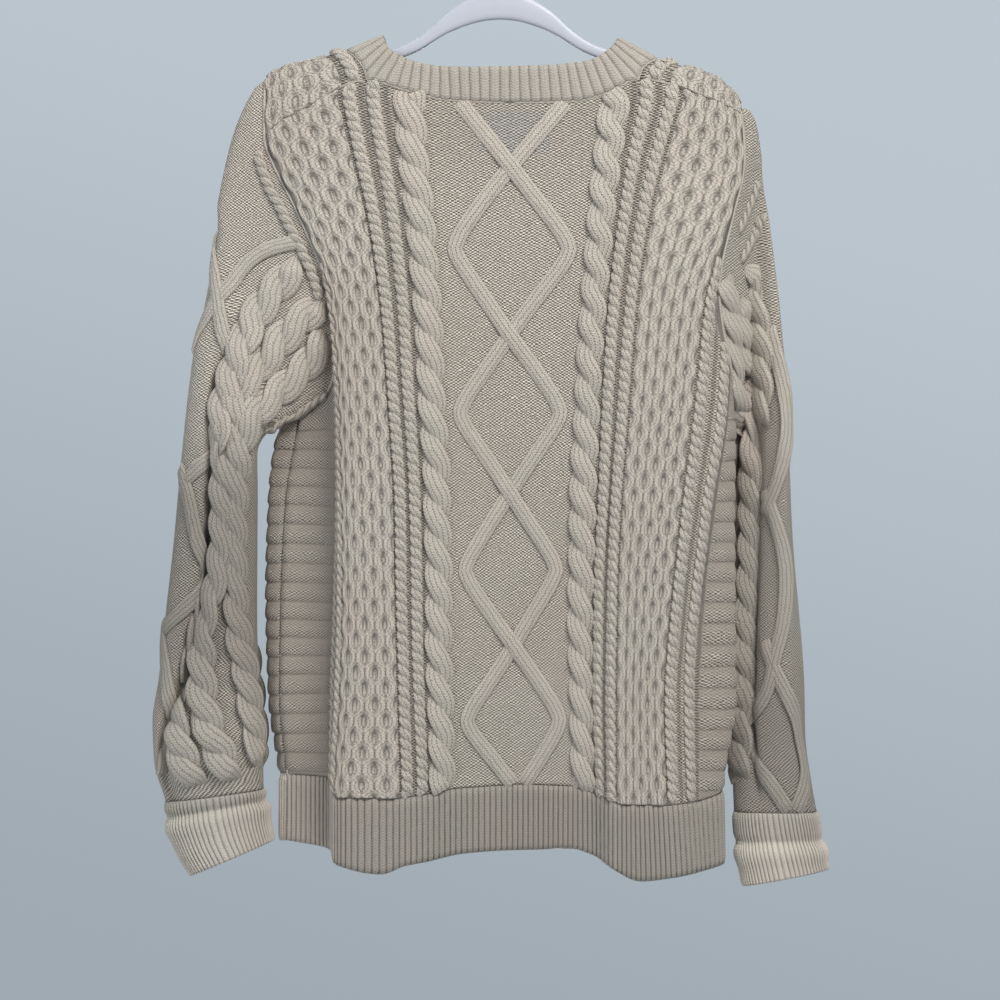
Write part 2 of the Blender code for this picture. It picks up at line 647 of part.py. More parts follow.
def pattern_panel(name, panel, material, parts):
    """A knitted panel: the stitch pattern raised outside, a plain coarse wall inside, and a closed edge."""
    shell = Shell(name)
    bands = []

    def add_band(s, v, lift, level, way=1):
        raised = lifted(panel.surface, s, v, lift)
        ids = shell.add(keep_level(raised, 0, panel.drop(s, v)[:, 0]))[::way]
        shell.quads(ids, lift=lift[::way])
        bands.append((ids, level))

    for band in reversed(BANDS):
        add_band(*side_band(panel, band, -1), way=-1)
    add_band(*centre_band(panel))
    for band in BANDS:
        add_band(*side_band(panel, band, 1))
    for (left, left_at), (right, right_at) in zip(bands[:-1], bands[1:]):
        reach = min(left_at[-1], right_at[-1]) + 1e-6
        i, j = np.sum(left_at <= reach), np.sum(right_at <= reach)
        shell.band(left[-1][:i], right[0][:j], left_at[:i], right_at[:j])
    straps = panel is Front
    inside = inner_wall(shell, panel)
    close_edges(shell, bands, inside, straps)
    return shell.build(material, parts)


def inner_wall(shell, panel):
    """The plain inside, one WALL under the cloth's face: blocks of columns that meet edge to edge."""
    straps = panel is Front
    body_levels = np.array(BODY_LEVELS)
    blocks = []
    for columns in (INNER_SIDE[::-1], INNER_MIDDLE, INNER_SIDE):
        sign = -1 if not blocks else 1
        s0 = np.array(columns, float) * (sign if columns is not INNER_MIDDLE else 1)
        level = body_levels
        if straps and columns is not INNER_MIDDLE:
            level = np.concatenate([body_levels, STRAP_LEVELS])
        s, v = panel.place(s0[:, None], level[None, :])
        v[:, -1] += MITRE
        if columns is not INNER_MIDDLE:
            s[0 if sign < 0 else -1] -= sign * MITRE
            s[-1 if sign < 0 else 0, len(BODY_LEVELS):] += sign * MITRE
        wall = keep_level(lifted(panel.surface, s, v, -WALL), 0, panel.drop(s, v)[:, 0] - HEM_MITRE)
        blocks.append((shell.add(wall), level))
    for ids, level in blocks:
        shell.quads(ids[:, ::-1])
    for (left, left_at), (right, right_at) in zip(blocks[:-1], blocks[1:]):
        rows = min(len(left_at), len(right_at))
        shell.quads(np.array([left[-1][:rows], right[0][:rows]])[:, ::-1])
    return blocks


def close_edges(shell, outside, inside, straps):
    """Closes the cloth's edge all round, between the outer points and the inner ones."""
    bottom_out = np.concatenate([ids[:, 0] for ids, _ in outside])
    bottom_in = np.concatenate([ids[:, 0] for ids, _ in inside])
    shell.band(bottom_out, bottom_in)
    shell.band(outside[0][0][0], inside[0][0][0], outside[0][1], inside[0][1])
    shell.band(outside[-1][0][-1], inside[-1][0][-1], outside[-1][1], inside[-1][1])
    if not straps:
        shell.band(np.concatenate([ids[:, -1] for ids, _ in outside]),
                   np.concatenate([ids[:, -1] for ids, _ in inside]))
        return
    strap_bands = len(BANDS) - STRAP_BANDS
    left, right = outside[:strap_bands], outside[-strap_bands:]
    middle = outside[strap_bands:-strap_bands]
    turn = [np.argmin(np.abs(level - 1)) for level in (left[-1][1], right[0][1])]
    turn_in = len(BODY_LEVELS) - 1
    neck_out = np.concatenate([[left[-1][0][-1][turn[0]]], *[ids[:, -1] for ids, _ in middle],
                               [right[0][0][0][turn[1]]]])
    neck_in = np.concatenate([[inside[0][0][-1][turn_in]], inside[1][0][:, -1], [inside[2][0][0][turn_in]]])
    shell.band(neck_out, neck_in)
    shell.band(left[-1][0][-1][turn[0]:], inside[0][0][-1][turn_in:])
    shell.band(right[0][0][0][turn[1]:], inside[2][0][0][turn_in:])
    shell.band(np.concatenate([ids[:, -1] for ids, _ in left]), inside[0][0][:, -1])
    shell.band(np.concatenate([ids[:, -1] for ids, _ in right]), inside[2][0][:, -1])


def hem_rib(name, panel, bottom, material, parts):
    """A ribbed strip below a panel: a crown and a furrow for each rib outside, plain inside."""
    bottom_s, bottom_t = bottom
    ribs = round(2 * SEAM_EDGE / HEM_RIB_PITCH)
    edge = SEAM_EDGE - SEAM_GAP
    s0 = np.linspace(-edge, edge, 2 * ribs + 1)
    hem_s, hem_t = (BACK_HEM_S, BACK_HEM_T) if panel is Back else (FRONT_HEM_S, FRONT_HEM_T)

    def grid(s0, rows, lift, mitre):
        top = np.interp(s0, hem_s, hem_t) + SEAM_GAP
        low = smooth(bottom_s, bottom_t, s0)
        t = low[:, None] + (top - low)[:, None] * np.linspace(0, 1, rows)
        s = np.broadcast_to(s0[:, None], t.shape)
        v = t if panel is Back else front_q(s, t)
        return keep_level(lifted(panel.surface, s, v, lift), -1, top + mitre)

    shell = Shell(name)
    crown = np.where(np.arange(len(s0)) % 2, RIB_HEIGHT, 0.0)[:, None]
    outside = shell.add(grid(s0, 2, crown, 0.0))
    inner_s = np.array([-edge + MITRE, *INNER_HEM_LEFT, *INNER_HEM_MIDDLE, *INNER_HEM_RIGHT, edge - MITRE])
    inside = shell.add(grid(inner_s, 2, -RIB_WALL, HEM_MITRE))
    shell.quads(outside)
    shell.quads(inside[:, ::-1])
    shell.band(outside[:, 0], inside[:, 0], s0, inner_s)
    shell.band(outside[:, -1], inside[:, -1], s0, inner_s)
    shell.band(outside[0], inside[0])
    shell.band(outside[-1], inside[-1])
    return shell.build(material, parts)


def along(line, count_or_shares):
    """Points spread evenly, or at shares of the length, along a line of points."""
    line = np.asarray(line, float)
    length = np.concatenate([[0], np.cumsum(np.linalg.norm(np.diff(line, axis=0), axis=1))])
    shares = np.linspace(0, 1, count_or_shares) if np.isscalar(count_or_shares) else count_or_shares
    reach = np.asarray(shares) * length[-1]
    return np.stack([np.interp(reach, length, line[:, k]) for k in range(3)], axis=-1)


def neck_seam():
    """The neck opening's seam in twelve stretches, one from each neckband station to the next.

    Round the front it runs through the panel's own edge points, so the two never cross.
    """
    strap_column = BANDS[len(BANDS) - STRAP_BANDS - 3][0][0]
    steps = round(STRAP_LENGTH / STRAP_STEP / 2) + 1
    side = [s0 for columns, _, _ in BANDS for s0 in columns if s0 <= strap_column]
    turn = 1 + sum(s0 < BAND_TURN_S for s0 in side)

    def back(a, b):
        s0 = np.linspace(a, b, 12)
        return back_surface(s0, back_top_t(s0))

    def strap(sign, a, b):
        return front_surface(*Front.place(sign * strap_column, np.linspace(a, b, steps)))

    s0, q, _, _ = centre_band(Front)
    middle = front_surface(s0[:, -1], q[:, -1])
    half = CENTRE_COLUMNS // 2
    left, right = (front_surface(*Front.place(sign * np.array(side), 1.0)) for sign in (-1, 1))
    left_line = np.vstack([left[::-1], middle[:half + 1]])
    right_line = np.vstack([middle[half:], right])
    return (
        back(0, -50), back(-50, -NECK_CORNER_LEFT), strap(-1, 2, 1.5), strap(-1, 1.5, 1),
        left_line[:-turn - half + 1], left_line[-turn - half:],
        right_line[:turn + half], right_line[turn + half - 1:],
        strap(1, 1, 1.5), strap(1, 1.5, 2), back(NECK_CORNER_RIGHT, 50), back(50, 0),
    )


def round_curve(knots, at):
    """A smooth closed curve through knots, read at station places."""
    knots = np.asarray(knots, float)
    i = np.floor(at).astype(int)
    f = (at - i)[:, None]
    a, b, c, d = (knots[(i + k) % len(knots)] for k in (-1, 0, 1, 2))
    return 0.5 * (2 * b + (c - a) * f + (2 * a - 5 * b + 4 * c - d) * f**2 + (3 * b - a - 3 * c + d) * f**3)


def neckband(material, parts):
    stretches = neck_seam()
    free = [(x, y, -t) for _, x, y, t in BAND_FREE_EDGE]

    def seam_points(at):
        return np.array([along(stretches[int(a) % len(stretches)], [a % 1.0])[0] for a in at])

    def even(count):
        """Stations spread evenly round the band."""
        at = np.linspace(0, len(free), BAND_SAMPLES)
        line = (seam_points(at) + round_curve(free, at)) / 2
        length = np.concatenate([[0], np.cumsum(np.linalg.norm(np.diff(line, axis=0), axis=1))])
        return np.interp(np.arange(count) * length[-1] / count, length, at)

    def ring(at, rows, lift):
        seam = seam_points(at)
        edge = round_curve(free, at)
        reach = edge - seam
        start = seam + reach * (BAND_SEAM_GAP / np.linalg.norm(reach, axis=1))[:, None]
        share_up = np.linspace(0, 1, rows)[None, :, None]
        flat = start[:, None] * (1 - share_up) + edge[:, None] * share_up
        round_way = np.roll(flat, -1, axis=0) - np.roll(flat, 1, axis=0)
        out = np.cross(reach[:, None], round_way)
        out /= np.linalg.norm(out, axis=-1, keepdims=True)
        return flat + out * lift

    count = 2 * NECK_RIBS
    crown = np.where(np.arange(count) % 2, RIB_HEIGHT, 0.0)[:, None, None]
    shell = Shell("neckband")
    outside = shell.add(ring(even(count), 2, crown))
    inside = shell.add(ring(even(NECK_INNER), 2, -RIB_WALL))
    shell.quads(outside, round_first=True)
    shell.quads(inside[:, ::-1], round_first=True)
    for row in (0, -1):
        shell.band(np.append(outside[:, row], outside[0, row]), np.append(inside[:, row], inside[0, row]))
    return shell.build(material, parts)


def armhole_loop(sign, shares):
    """The armhole's edge at shares 0 to 2: down the back to the underarm at 1, and up the front to 2."""
    q = np.linspace(0, float(seam_q(sign * SHOULDER_S)), 10)
    top = float(back_top_t(sign * SHOULDER_S))
    t = np.linspace(top, UNDERARM_T, 40)[1:]
    down = np.vstack([front_surface(sign * SHOULDER_S, q), back_surface(sign * armhole_s(t), t)])
    front = np.linspace(0, float(front_q(sign * SEAM_EDGE, UNDERARM_T)), 50)
    up = front_surface(sign * armhole_s(front_t(sign * SHOULDER_S, front)), front)
    shares = np.asarray(shares)
    first = along(down, np.clip(shares, 0, 1))
    second = along(up[::-1], np.clip(shares - 1, 0, 1))
    return np.where((shares <= 1)[..., None], first, second)


class Sleeve:
    """A sleeve as rings: angle 0 at its outer edge, a half turn at its inner edge, the back in between."""

    def __init__(self, sign, sections):
        self.sign = sign
        self.rows = np.array(sections, float)

    def section(self, j):
        j = np.clip(j, 0, len(self.rows) - 1)
        return [smooth(range(len(self.rows)), self.rows[:, k], j) for k in range(self.rows.shape[1])]

    def surface(self, angle, j):
        angle, j = np.broadcast_arrays(np.asarray(angle, float), np.asarray(j, float))
        values = self.section(j)
        outer = np.stack([values[0], values[1], -values[2]], axis=-1)
        inner = np.stack([values[3], values[4], -values[5]], axis=-1)
        back, front = values[6], values[7]
        crease = values[8] if len(values) > 8 else 0 * back
        middle, half = (outer + inner) / 2, (inner - outer) / 2
        way = half / np.linalg.norm(half, axis=-1, keepdims=True)
        depth = np.array([0.0, 1.0, 0.0]) - way * way[..., 1:2]
        depth /= np.linalg.norm(depth, axis=-1, keepdims=True)
        sine, cosine = np.sin(angle), np.cos(angle)
        chord = -np.sign(cosine) * np.abs(cosine) ** SLEEVE_SQUARE
        behind = np.abs(sine) ** SLEEVE_BLUNT * np.where(sine > 0, -back, front)
        furrow = crease * np.exp(-(((chord - CREASE_AT) / CREASE_WIDTH) ** 2))
        behind = behind + np.where(sine > 0, furrow, -0.6 * furrow)
        tube = middle + half * chord[..., None] + depth * behind[..., None]
        if len(values) == 8:
            return tube
        loop = armhole_loop(self.sign, (angle / math.pi) % 2)
        leave = np.clip(j / ARMHOLE_ROWS, 0, 1)[..., None]
        return loop * (1 - leave) + tube * leave

    def face(self, angle, j, lift):
        h, k = 0.03, 0.05
        around = self.surface(angle + h, j) - self.surface(angle - h, j)
        later, earlier = np.minimum(j + k, len(self.rows) - 1), np.maximum(j - k, 0)
        down = self.surface(angle, later) - self.surface(angle, earlier)
        out = -self.sign * np.cross(down, around)
        out /= np.maximum(np.linalg.norm(out, axis=-1, keepdims=True), 1e-9)
        return self.surface(angle, j) + out * np.asarray(lift)[..., None]


def tube_shell(name, sleeve, angles, places, lift, inner_angles, inner_places, wall, material, parts):
    """A closed tube of cloth: relief outside, plain inside, both ends closed over the wall."""
    shell = Shell(name)
    outside = shell.add(sleeve.face(angles[:, None], places[None, :], lift))
    inside = shell.add(sleeve.face(inner_angles[:, None], inner_places[None, :], -wall))
    shell.quads(outside, round_first=True, lift=lift)
    shell.quads(inside[:, ::-1], round_first=True)
    for end in (0, -1):
        shell.band(np.append(outside[:, end], outside[0, end]), np.append(inside[:, end], inside[0, end]))
    return shell.build(material, parts)


def sleeve_relief(count, rows):
    """Crossing strands down the outer edge and three ropes on each side of them."""
    lift = np.zeros((count, rows))
    for r in range(rows):
        swing = abs((r / SLEEVE_DIAMOND_ROWS) % 2 - 1) * SLEEVE_SWING
        for c in range(count):
            out = min(c, count - c)
            if abs(out - swing) < 0.55:
                lift[c, r] = STRAND_HEIGHT
            if out in SLEEVE_ROPES:
                lift[c, r] = CABLE_HEIGHT * (1.0 if (r + out) % 2 else 0.55)
    lift[:, :SLEEVE_PLAIN_ROWS] *= 0.3
    return lift


def edge_angles(count):
    """Angles round a sleeve, closer together at its two folded edges."""
    even = np.linspace(0, 2 * math.pi, count, endpoint=False)
    return even - EDGE_CROWDING * np.sin(2 * even)


def sleeve_piece(name, sign, sections, material, parts):
    sleeve = Sleeve(sign, sections)
    angles = edge_angles(SLEEVE_COLUMNS)
    places = np.concatenate([[SLEEVE_START], np.linspace(0.35, len(sections) - 1, SLEEVE_ROWS)])
    inner_angles = edge_angles(SLEEVE_INNER_COLUMNS)
    inner_places = np.concatenate([[SLEEVE_MITRE], np.linspace(0.8, len(sections) - 1, SLEEVE_INNER_ROWS)])
    lift = sleeve_relief(len(angles), len(places))
    return tube_shell(name, sleeve, angles, places, lift, inner_angles, inner_places, WALL, material, parts)


def cuff_piece(name, sign, sections, material, parts):
    cuff = Sleeve(sign, sections)
    angles = np.linspace(0, 2 * math.pi, 2 * CUFF_RIBS, endpoint=False)
    inner_angles = np.linspace(0, 2 * math.pi, CUFF_INNER, endpoint=False)
    places = np.linspace(0, len(sections) - 1, 3)
    ribs = np.where(np.arange(len(angles)) % 2, RIB_HEIGHT, 0.0)[:, None]
    lift = np.broadcast_to(ribs, (len(angles), len(places)))
    return tube_shell(name, cuff, angles, places, lift, inner_angles, places, RIB_WALL, material, parts)


def neck_label(material, parts):
    """A plain label flat against the inside of the back."""
    s = np.linspace(-LABEL_HALF_WIDTH, LABEL_HALF_WIDTH, 5)[:, None]
    t = np.linspace(LABEL_TOP_T, LABEL_TOP_T + LABEL_HEIGHT, 4)[None, :]
    s, t = np.broadcast_arrays(s, t)
    shell = Shell("neck_label")
    near = shell.add(lifted(back_surface, s, t, -(WALL + LABEL_GAP)))
    far = shell.add(lifted(back_surface, s, t, -(WALL + LABEL_GAP + LABEL_THICK)))
    shell.quads(near)
    shell.quads(far[:, ::-1])
    for a, b in ((near[0], far[0]), (near[-1], far[-1]), (near[:, 0], far[:, 0]), (near[:, -1], far[:, -1])):
        shell.band(a, b)
    return shell.build(material, parts)


def hanger_body(material, parts):
    """The arms as one swept bar: its top follows the shoulders inside the cloth and rises at the neck."""
    x = np.concatenate([-np.array(HANGER_X[::-1]), np.array(HANGER_X[1:])])
    cloth = ridge_t(x) + WALL + HANGER_GAP
    neck = np.interp(np.abs(x), HANGER_NECK_X, HANGER_NECK_T)
    cloth = cloth + np.interp(np.abs(x), HANGER_LOW_X, HANGER_LOW)
    top = np.where(np.abs(x) < HANGER_NECK_X[-1], neck, cloth)
    deep = np.interp(np.abs(x), HANGER_DEEP_X, HANGER_DEEP)
    shell = Shell("hanger_arms")
    turns = np.linspace(0, 2 * math.pi, HANGER_SIDES, endpoint=False)
    ring = np.zeros((HANGER_SIDES, len(x), 3))
    for k, turn in enumerate(turns):
        up = (1 - math.cos(turn)) / 2
        ring[k, :, 0] = x
        ring[k, :, 1] = HANGER_HALF_THICK * math.sin(turn)
        ring[k, :, 2] = -(top + deep * up)
    ids = shell.add(ring)
    shell.quads(ids, round_first=True)
    shell.faces.append(tuple(ids[:, 0]))
    shell.faces.append(tuple(ids[::-1, -1]))
    arms = shell.build(material, parts)
    arms.name = "hanger"
    arms.data.name = "hanger"

    curve = bpy.data.curves.new("hook", "CURVE")
    curve.dimensions = "3D"
    curve.bevel_depth = HOOK_WIRE * MM
    curve.bevel_resolution = 2
    curve.use_fill_caps = True
    route = [(0.0, -(HANGER_NECK_T[0] + 4.0)), (0.0, -(HOOK_RADIUS + 22.0))]
    middle_z = -HOOK_RADIUS
    for step in range(HOOK_STEPS + 1):
        turn = math.radians(-60 + HOOK_SWEEP * step / HOOK_STEPS)
        reach = HOOK_RADIUS + HOOK_WIRE
        route.append((reach * math.cos(turn), middle_z + reach * math.sin(turn)))
    spline = curve.splines.new("POLY")
    spline.points.add(len(route) - 1)
    for point, (x_mm, z_mm) in zip(spline.points, route):
        point.co = (x_mm * MM, 0.0, z_mm * MM, 1.0)
    hook = bpy.data.objects.new("hook", curve)
    parts.objects.link(hook)
    bpy.context.view_layer.update()
    mesh = bpy.data.meshes.new_from_object(hook.evaluated_get(bpy.context.evaluated_depsgraph_get()))
    welded = bmesh.new()
    welded.from_mesh(mesh)
    bmesh.ops.remove_doubles(welded, verts=welded.verts, dist=0.00001)
    welded.to_mesh(mesh)
    welded.free()
    solid = bpy.data.objects.new("hook_solid", mesh)
    solid.hide_render = True
    solid.display_type = "WIRE"
    bpy.data.objects.remove(hook)
    cutters = bpy.data.collections.new("cutters")
    bpy.context.scene.collection.children.link(cutters)
    cutters.objects.link(solid)
    union = arms.modifiers.new("join hook", "BOOLEAN")
    union.operation = "UNION"
    union.object = solid
    return arms


def material(name, colour, roughness):
    made = bpy.data.materials.new(name)
    made.use_nodes = True
    shader = made.node_tree.nodes["Principled BSDF"]
    shader.inputs["Base Color"].default_value = (*colour, 1.0)
    shader.inputs["Roughness"].default_value = roughness
    shader.inputs["Metallic"].default_value = 0.0
    return made


def main():
    for old in list(bpy.data.objects):
        bpy.data.objects.remove(old)
    parts = bpy.data.collections.new("cable_knit_sweater")
    bpy.context.scene.collection.children.link(parts)
    pattern_panel("back_panel", Back, material("back knit", CREAM, 0.95), parts)
    pattern_panel("front_panel", Front, material("front knit", CREAM, 0.95), parts)
    sleeve_piece("left_sleeve", -1, LEFT_SLEEVE, material("left sleeve knit", CREAM, 0.95), parts)
    sleeve_piece("right_sleeve", 1, RIGHT_SLEEVE, material("right sleeve knit", CREAM, 0.95), parts)
    neckband(material("neckband rib", PALE_CREAM, 0.95), parts)
    hem_rib("back_hem_rib", Back, (BACK_BOTTOM_S, BACK_BOTTOM_T),
            material("back hem rib", PALE_CREAM, 0.95), parts)
    hem_rib("front_hem_rib", Front, (FRONT_BOTTOM_S, FRONT_BOTTOM_T),
            material("front hem rib", PALE_CREAM, 0.95), parts)
    cuff_piece("left_cuff", -1, LEFT_CUFF, material("left cuff rib", PALE_CREAM, 0.95), parts)
    cuff_piece("right_cuff", 1, RIGHT_CUFF, material("right cuff rib", PALE_CREAM, 0.95), parts)
    neck_label(material("label cloth", LABEL_WHITE, 0.8), parts)
    hanger_body(material("hanger plastic", PLASTIC_WHITE, 0.35), parts)


main()
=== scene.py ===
import math

import bmesh
import bpy
import numpy as np
from mathutils import Matrix, Vector


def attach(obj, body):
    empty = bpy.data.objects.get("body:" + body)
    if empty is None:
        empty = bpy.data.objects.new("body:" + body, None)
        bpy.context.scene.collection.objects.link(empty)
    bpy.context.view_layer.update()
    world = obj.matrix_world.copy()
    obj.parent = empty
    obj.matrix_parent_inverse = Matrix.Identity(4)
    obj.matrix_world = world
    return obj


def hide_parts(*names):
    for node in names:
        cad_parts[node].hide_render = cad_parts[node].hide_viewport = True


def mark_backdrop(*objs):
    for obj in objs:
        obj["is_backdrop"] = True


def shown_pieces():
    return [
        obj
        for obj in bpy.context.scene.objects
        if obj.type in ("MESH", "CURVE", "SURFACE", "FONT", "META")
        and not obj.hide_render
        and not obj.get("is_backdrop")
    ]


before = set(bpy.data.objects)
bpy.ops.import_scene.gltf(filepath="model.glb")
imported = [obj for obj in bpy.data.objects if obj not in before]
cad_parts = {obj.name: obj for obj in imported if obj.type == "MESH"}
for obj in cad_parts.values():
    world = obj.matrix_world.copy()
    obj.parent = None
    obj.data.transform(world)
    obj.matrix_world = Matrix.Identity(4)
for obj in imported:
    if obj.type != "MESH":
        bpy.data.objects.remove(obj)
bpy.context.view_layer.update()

mm = 0.001
print("frame loaded:", len(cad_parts), "nodes")


# nodes and shader maths
def feed(tree, slot, value):  # an input takes another node's output or a plain value
    value = value.socket if isinstance(value, Wire) else value
    if isinstance(value, bpy.types.NodeSocket):
        tree.links.new(value, slot)
    else:
        slot.default_value = value


def addNode(tree, kind, settings=None, **sockets):  # an input goes by its name, or by its number as i0 or i1
    made = tree.nodes.new(kind)
    for key, value in (settings or {}).items():
        setattr(made, key, value)
    for key, value in sockets.items():
        numbered = key[0] == "i" and key[1:].isdigit()
        feed(tree, made.inputs[int(key[1:]) if numbered else key], value)
    return made


def mathsSign(operation, turned=False):  # an operator that adds one Math node
    def apply(self, other):
        return self.maths(operation, other, self) if turned else self.maths(operation, self, other)
    return apply


class Wire:  # one socket's value inside a material, so sums are written as sums
    def __init__(self, tree, socket):
        self.tree = tree
        self.socket = socket

    def maths(self, operation, *values):
        made = addNode(self.tree, "ShaderNodeMath", {"operation": operation})
        for slot, value in zip(made.inputs, values):
            feed(self.tree, slot, value)
        return Wire(self.tree, made.outputs[0])

    __add__ = mathsSign("ADD")
    __radd__ = mathsSign("ADD", True)
    __sub__ = mathsSign("SUBTRACT")
    __rsub__ = mathsSign("SUBTRACT", True)
    __mul__ = mathsSign("MULTIPLY")
    __rmul__ = mathsSign("MULTIPLY", True)
    __truediv__ = mathsSign("DIVIDE")
    __pow__ = mathsSign("POWER")
    over = mathsSign("GREATER_THAN")
    under = mathsSign("LESS_THAN")

    def __abs__(self):
        return self.maths("ABSOLUTE", self)

    def cosTurns(self):
        return self.maths("COSINE", self * (2 * math.pi))

    def fract(self):
        return self.maths("FRACT", self)

    def ramp(self, low, high):  # 0 below low, 1 above high, soft between
        made = addNode(self.tree, "ShaderNodeMapRange", {"interpolation_type": "SMOOTHSTEP"}, Value=self,
                       **{"From Min": low, "From Max": high})
        return Wire(self.tree, made.outputs[0])


class Finish:  # one material and the nodes it is made of
    def __init__(self, name, **constants):
        self.material = bpy.data.materials.new(name)
        self.material.use_nodes = True
        self.tree = self.material.node_tree
        self.shader = self.tree.nodes["Principled BSDF"]
        for socket, value in constants.items():
            self.shader.inputs[socket.replace("_", " ")].default_value = value

    def node(self, kind, settings=None, **sockets):
        return addNode(self.tree, kind, settings, **sockets)

    def wire(self, socket):
        return Wire(self.tree, socket)

    def place(self):
        split = self.node("ShaderNodeSeparateXYZ", i0=self.node("ShaderNodeTexCoord").outputs["Object"])
        return [self.wire(socket) for socket in split.outputs]

    def toned(self, colour, tone):
        made = self.node("ShaderNodeVectorMath", {"operation": "SCALE"}, i0=colour, Scale=tone)
        return self.wire(made.outputs[0])

    def uv(self):
        place = self.node("ShaderNodeUVMap", {"uv_map": "knitMap"})
        split = self.node("ShaderNodeSeparateXYZ", i0=place.outputs[0])
        return self.wire(split.outputs[0]), self.wire(split.outputs[1])

    def noise(self, scale, detail=3.0, rough=0.55, stretch=(1, 1, 1)):
        place = self.node("ShaderNodeTexCoord").outputs["Object"]
        shift = self.node("ShaderNodeMapping", Vector=place, Scale=stretch).outputs[0]
        made = self.node("ShaderNodeTexNoise", Vector=shift, Scale=scale, Detail=detail, Roughness=rough)
        return self.wire(made.outputs[0])

    def blend(self, share, first, second):
        made = self.node("ShaderNodeMix", {"data_type": "RGBA", "clamp_factor": True}, i0=share)
        for slot, value in ((made.inputs[6], first), (made.inputs[7], second)):
            feed(self.tree, slot, value if isinstance(value, Wire) else (*value, 1))
        return self.wire(made.outputs[2])

    def finish(self, colour, height, deep, strength=1.0, rough=None):
        feed(self.tree, self.shader.inputs["Base Color"], colour)
        if rough is not None:
            feed(self.tree, self.shader.inputs["Roughness"], rough)
        bump = self.node("ShaderNodeBump", Height=height, Distance=deep, Strength=strength)
        feed(self.tree, self.shader.inputs["Normal"], bump.outputs[0])
        return self.material


def linked(name, data):
    made = bpy.data.objects.new(name, data)
    bpy.context.scene.collection.objects.link(made)
    return made


# stage, camera, lights
stage = {
    "eye": (0.0, -2.63, -0.4905),     # level with the middle of the view
    "lens": 110.8,
    "sensor": 36.0,
    "sight": (0.05, 60.0),
    "floorDrop": -1.62,
    "floorSize": 2.6,
    "floorSides": 64,
    "floorColour": (0.60, 0.62, 0.64),
    "floorRough": 0.9,
    "airColour": (0.268, 0.302, 0.335),
    "highWall": (0.500, 0.567, 0.620),
    "lowWall": (0.350, 0.402, 0.447),
    "wallAway": 9.0,
    "wallHalf": 6.0,
    "wallUp": 0.9,                    # painted light: the glowing wall grows paler upwards and a little to the right
    "wallRight": 0.25,
    "wallFade": (-2.6, 1.5),
    "lights": {
        # place, aimed at, width and height, power, colour
        "key softbox": ((0.95, -1.75, 1.25), (0, 0, -0.42), (1.3, 1.1), 58.0, (1.0, 0.985, 0.96)),
        "fill softbox": ((-1.9, -1.6, -0.2), (0, 0, -0.45), (1.2, 1.6), 17.5, (0.94, 0.97, 1.0)),
        "top softbox": ((0.1, -0.25, 1.5), (0, 0, -0.3), (1.4, 0.9), 4.0, (1.0, 1.0, 1.0)),
        "back softbox": ((-0.6, 2.6, 0.5), (0, 0, -0.45), (1.8, 1.4), 40.0, (1.0, 0.99, 0.97)),
    },
}


def areaLight(name, place, towards, size, power, colour):
    data = bpy.data.lights.new(name, "AREA")
    data.shape = "RECTANGLE"
    data.size, data.size_y = size
    data.energy = power
    data.color = colour
    lamp = linked(name, data)
    lamp.location = place
    lamp.rotation_euler = (Vector(towards) - Vector(place)).to_track_quat("-Z", "Y").to_euler()


def stagePiece(name, shape, material):
    mesh = bpy.data.meshes.new(name)
    shape.to_mesh(mesh)
    shape.free()
    mesh.materials.append(material)
    return linked(name, mesh)


def makeStage():
    camera = linked("camera", bpy.data.cameras.new("camera"))
    camera.location = stage["eye"]
    camera.rotation_euler = (math.radians(90), 0, 0)
    camera.data.lens = stage["lens"]
    camera.data.sensor_width = stage["sensor"]
    camera.data.clip_start, camera.data.clip_end = stage["sight"]
    bpy.context.scene.camera = camera
    bpy.context.scene.view_settings.view_transform = "Standard"

    world = bpy.data.worlds.new("studio air")
    bpy.context.scene.world = world
    world.use_nodes = True
    air = world.node_tree.nodes["Background"]
    air.inputs["Color"].default_value = (*stage["airColour"], 1)
    for name, values in stage["lights"].items():
        areaLight(name, *values)

    paint = bpy.data.materials.new("floor paint")
    paint.use_nodes = True
    shader = paint.node_tree.nodes["Principled BSDF"]
    shader.inputs["Base Color"].default_value = (*stage["floorColour"], 1)
    shader.inputs["Roughness"].default_value = stage["floorRough"]
    ring = bmesh.new()
    bmesh.ops.create_circle(ring, cap_ends=True, segments=stage["floorSides"], radius=stage["floorSize"])
    bmesh.ops.translate(ring, verts=ring.verts, vec=(0, 0, stage["floorDrop"]))
    floor = stagePiece("studio_floor", ring, paint)

    glow = Finish("wall glow", Roughness=1.0, Specular_IOR_Level=0.0, Emission_Strength=1.0)
    glow.shader.inputs["Base Color"].default_value = (0, 0, 0, 1)
    # painted light on the backdrop: its glow grows paler upwards and to the right
    x, y, z = glow.place()
    height = (z * stage["wallUp"] + x * stage["wallRight"]).ramp(*stage["wallFade"])
    shine = glow.blend(height, stage["lowWall"], stage["highWall"])
    feed(glow.tree, glow.shader.inputs["Emission Color"], shine)
    sheet = bmesh.new()
    bmesh.ops.create_grid(sheet, x_segments=1, y_segments=1, size=stage["wallHalf"])
    upright = Matrix.Rotation(math.radians(90), 3, "X")
    bmesh.ops.rotate(sheet, verts=sheet.verts, cent=(0, 0, 0), matrix=upright)
    bmesh.ops.translate(sheet, verts=sheet.verts, vec=(0, stage["wallAway"], 0))
    wall = stagePiece("studio_wall", sheet, glow.material)
    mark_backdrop(floor, wall)


makeStage()
print("stage, camera and lights set")

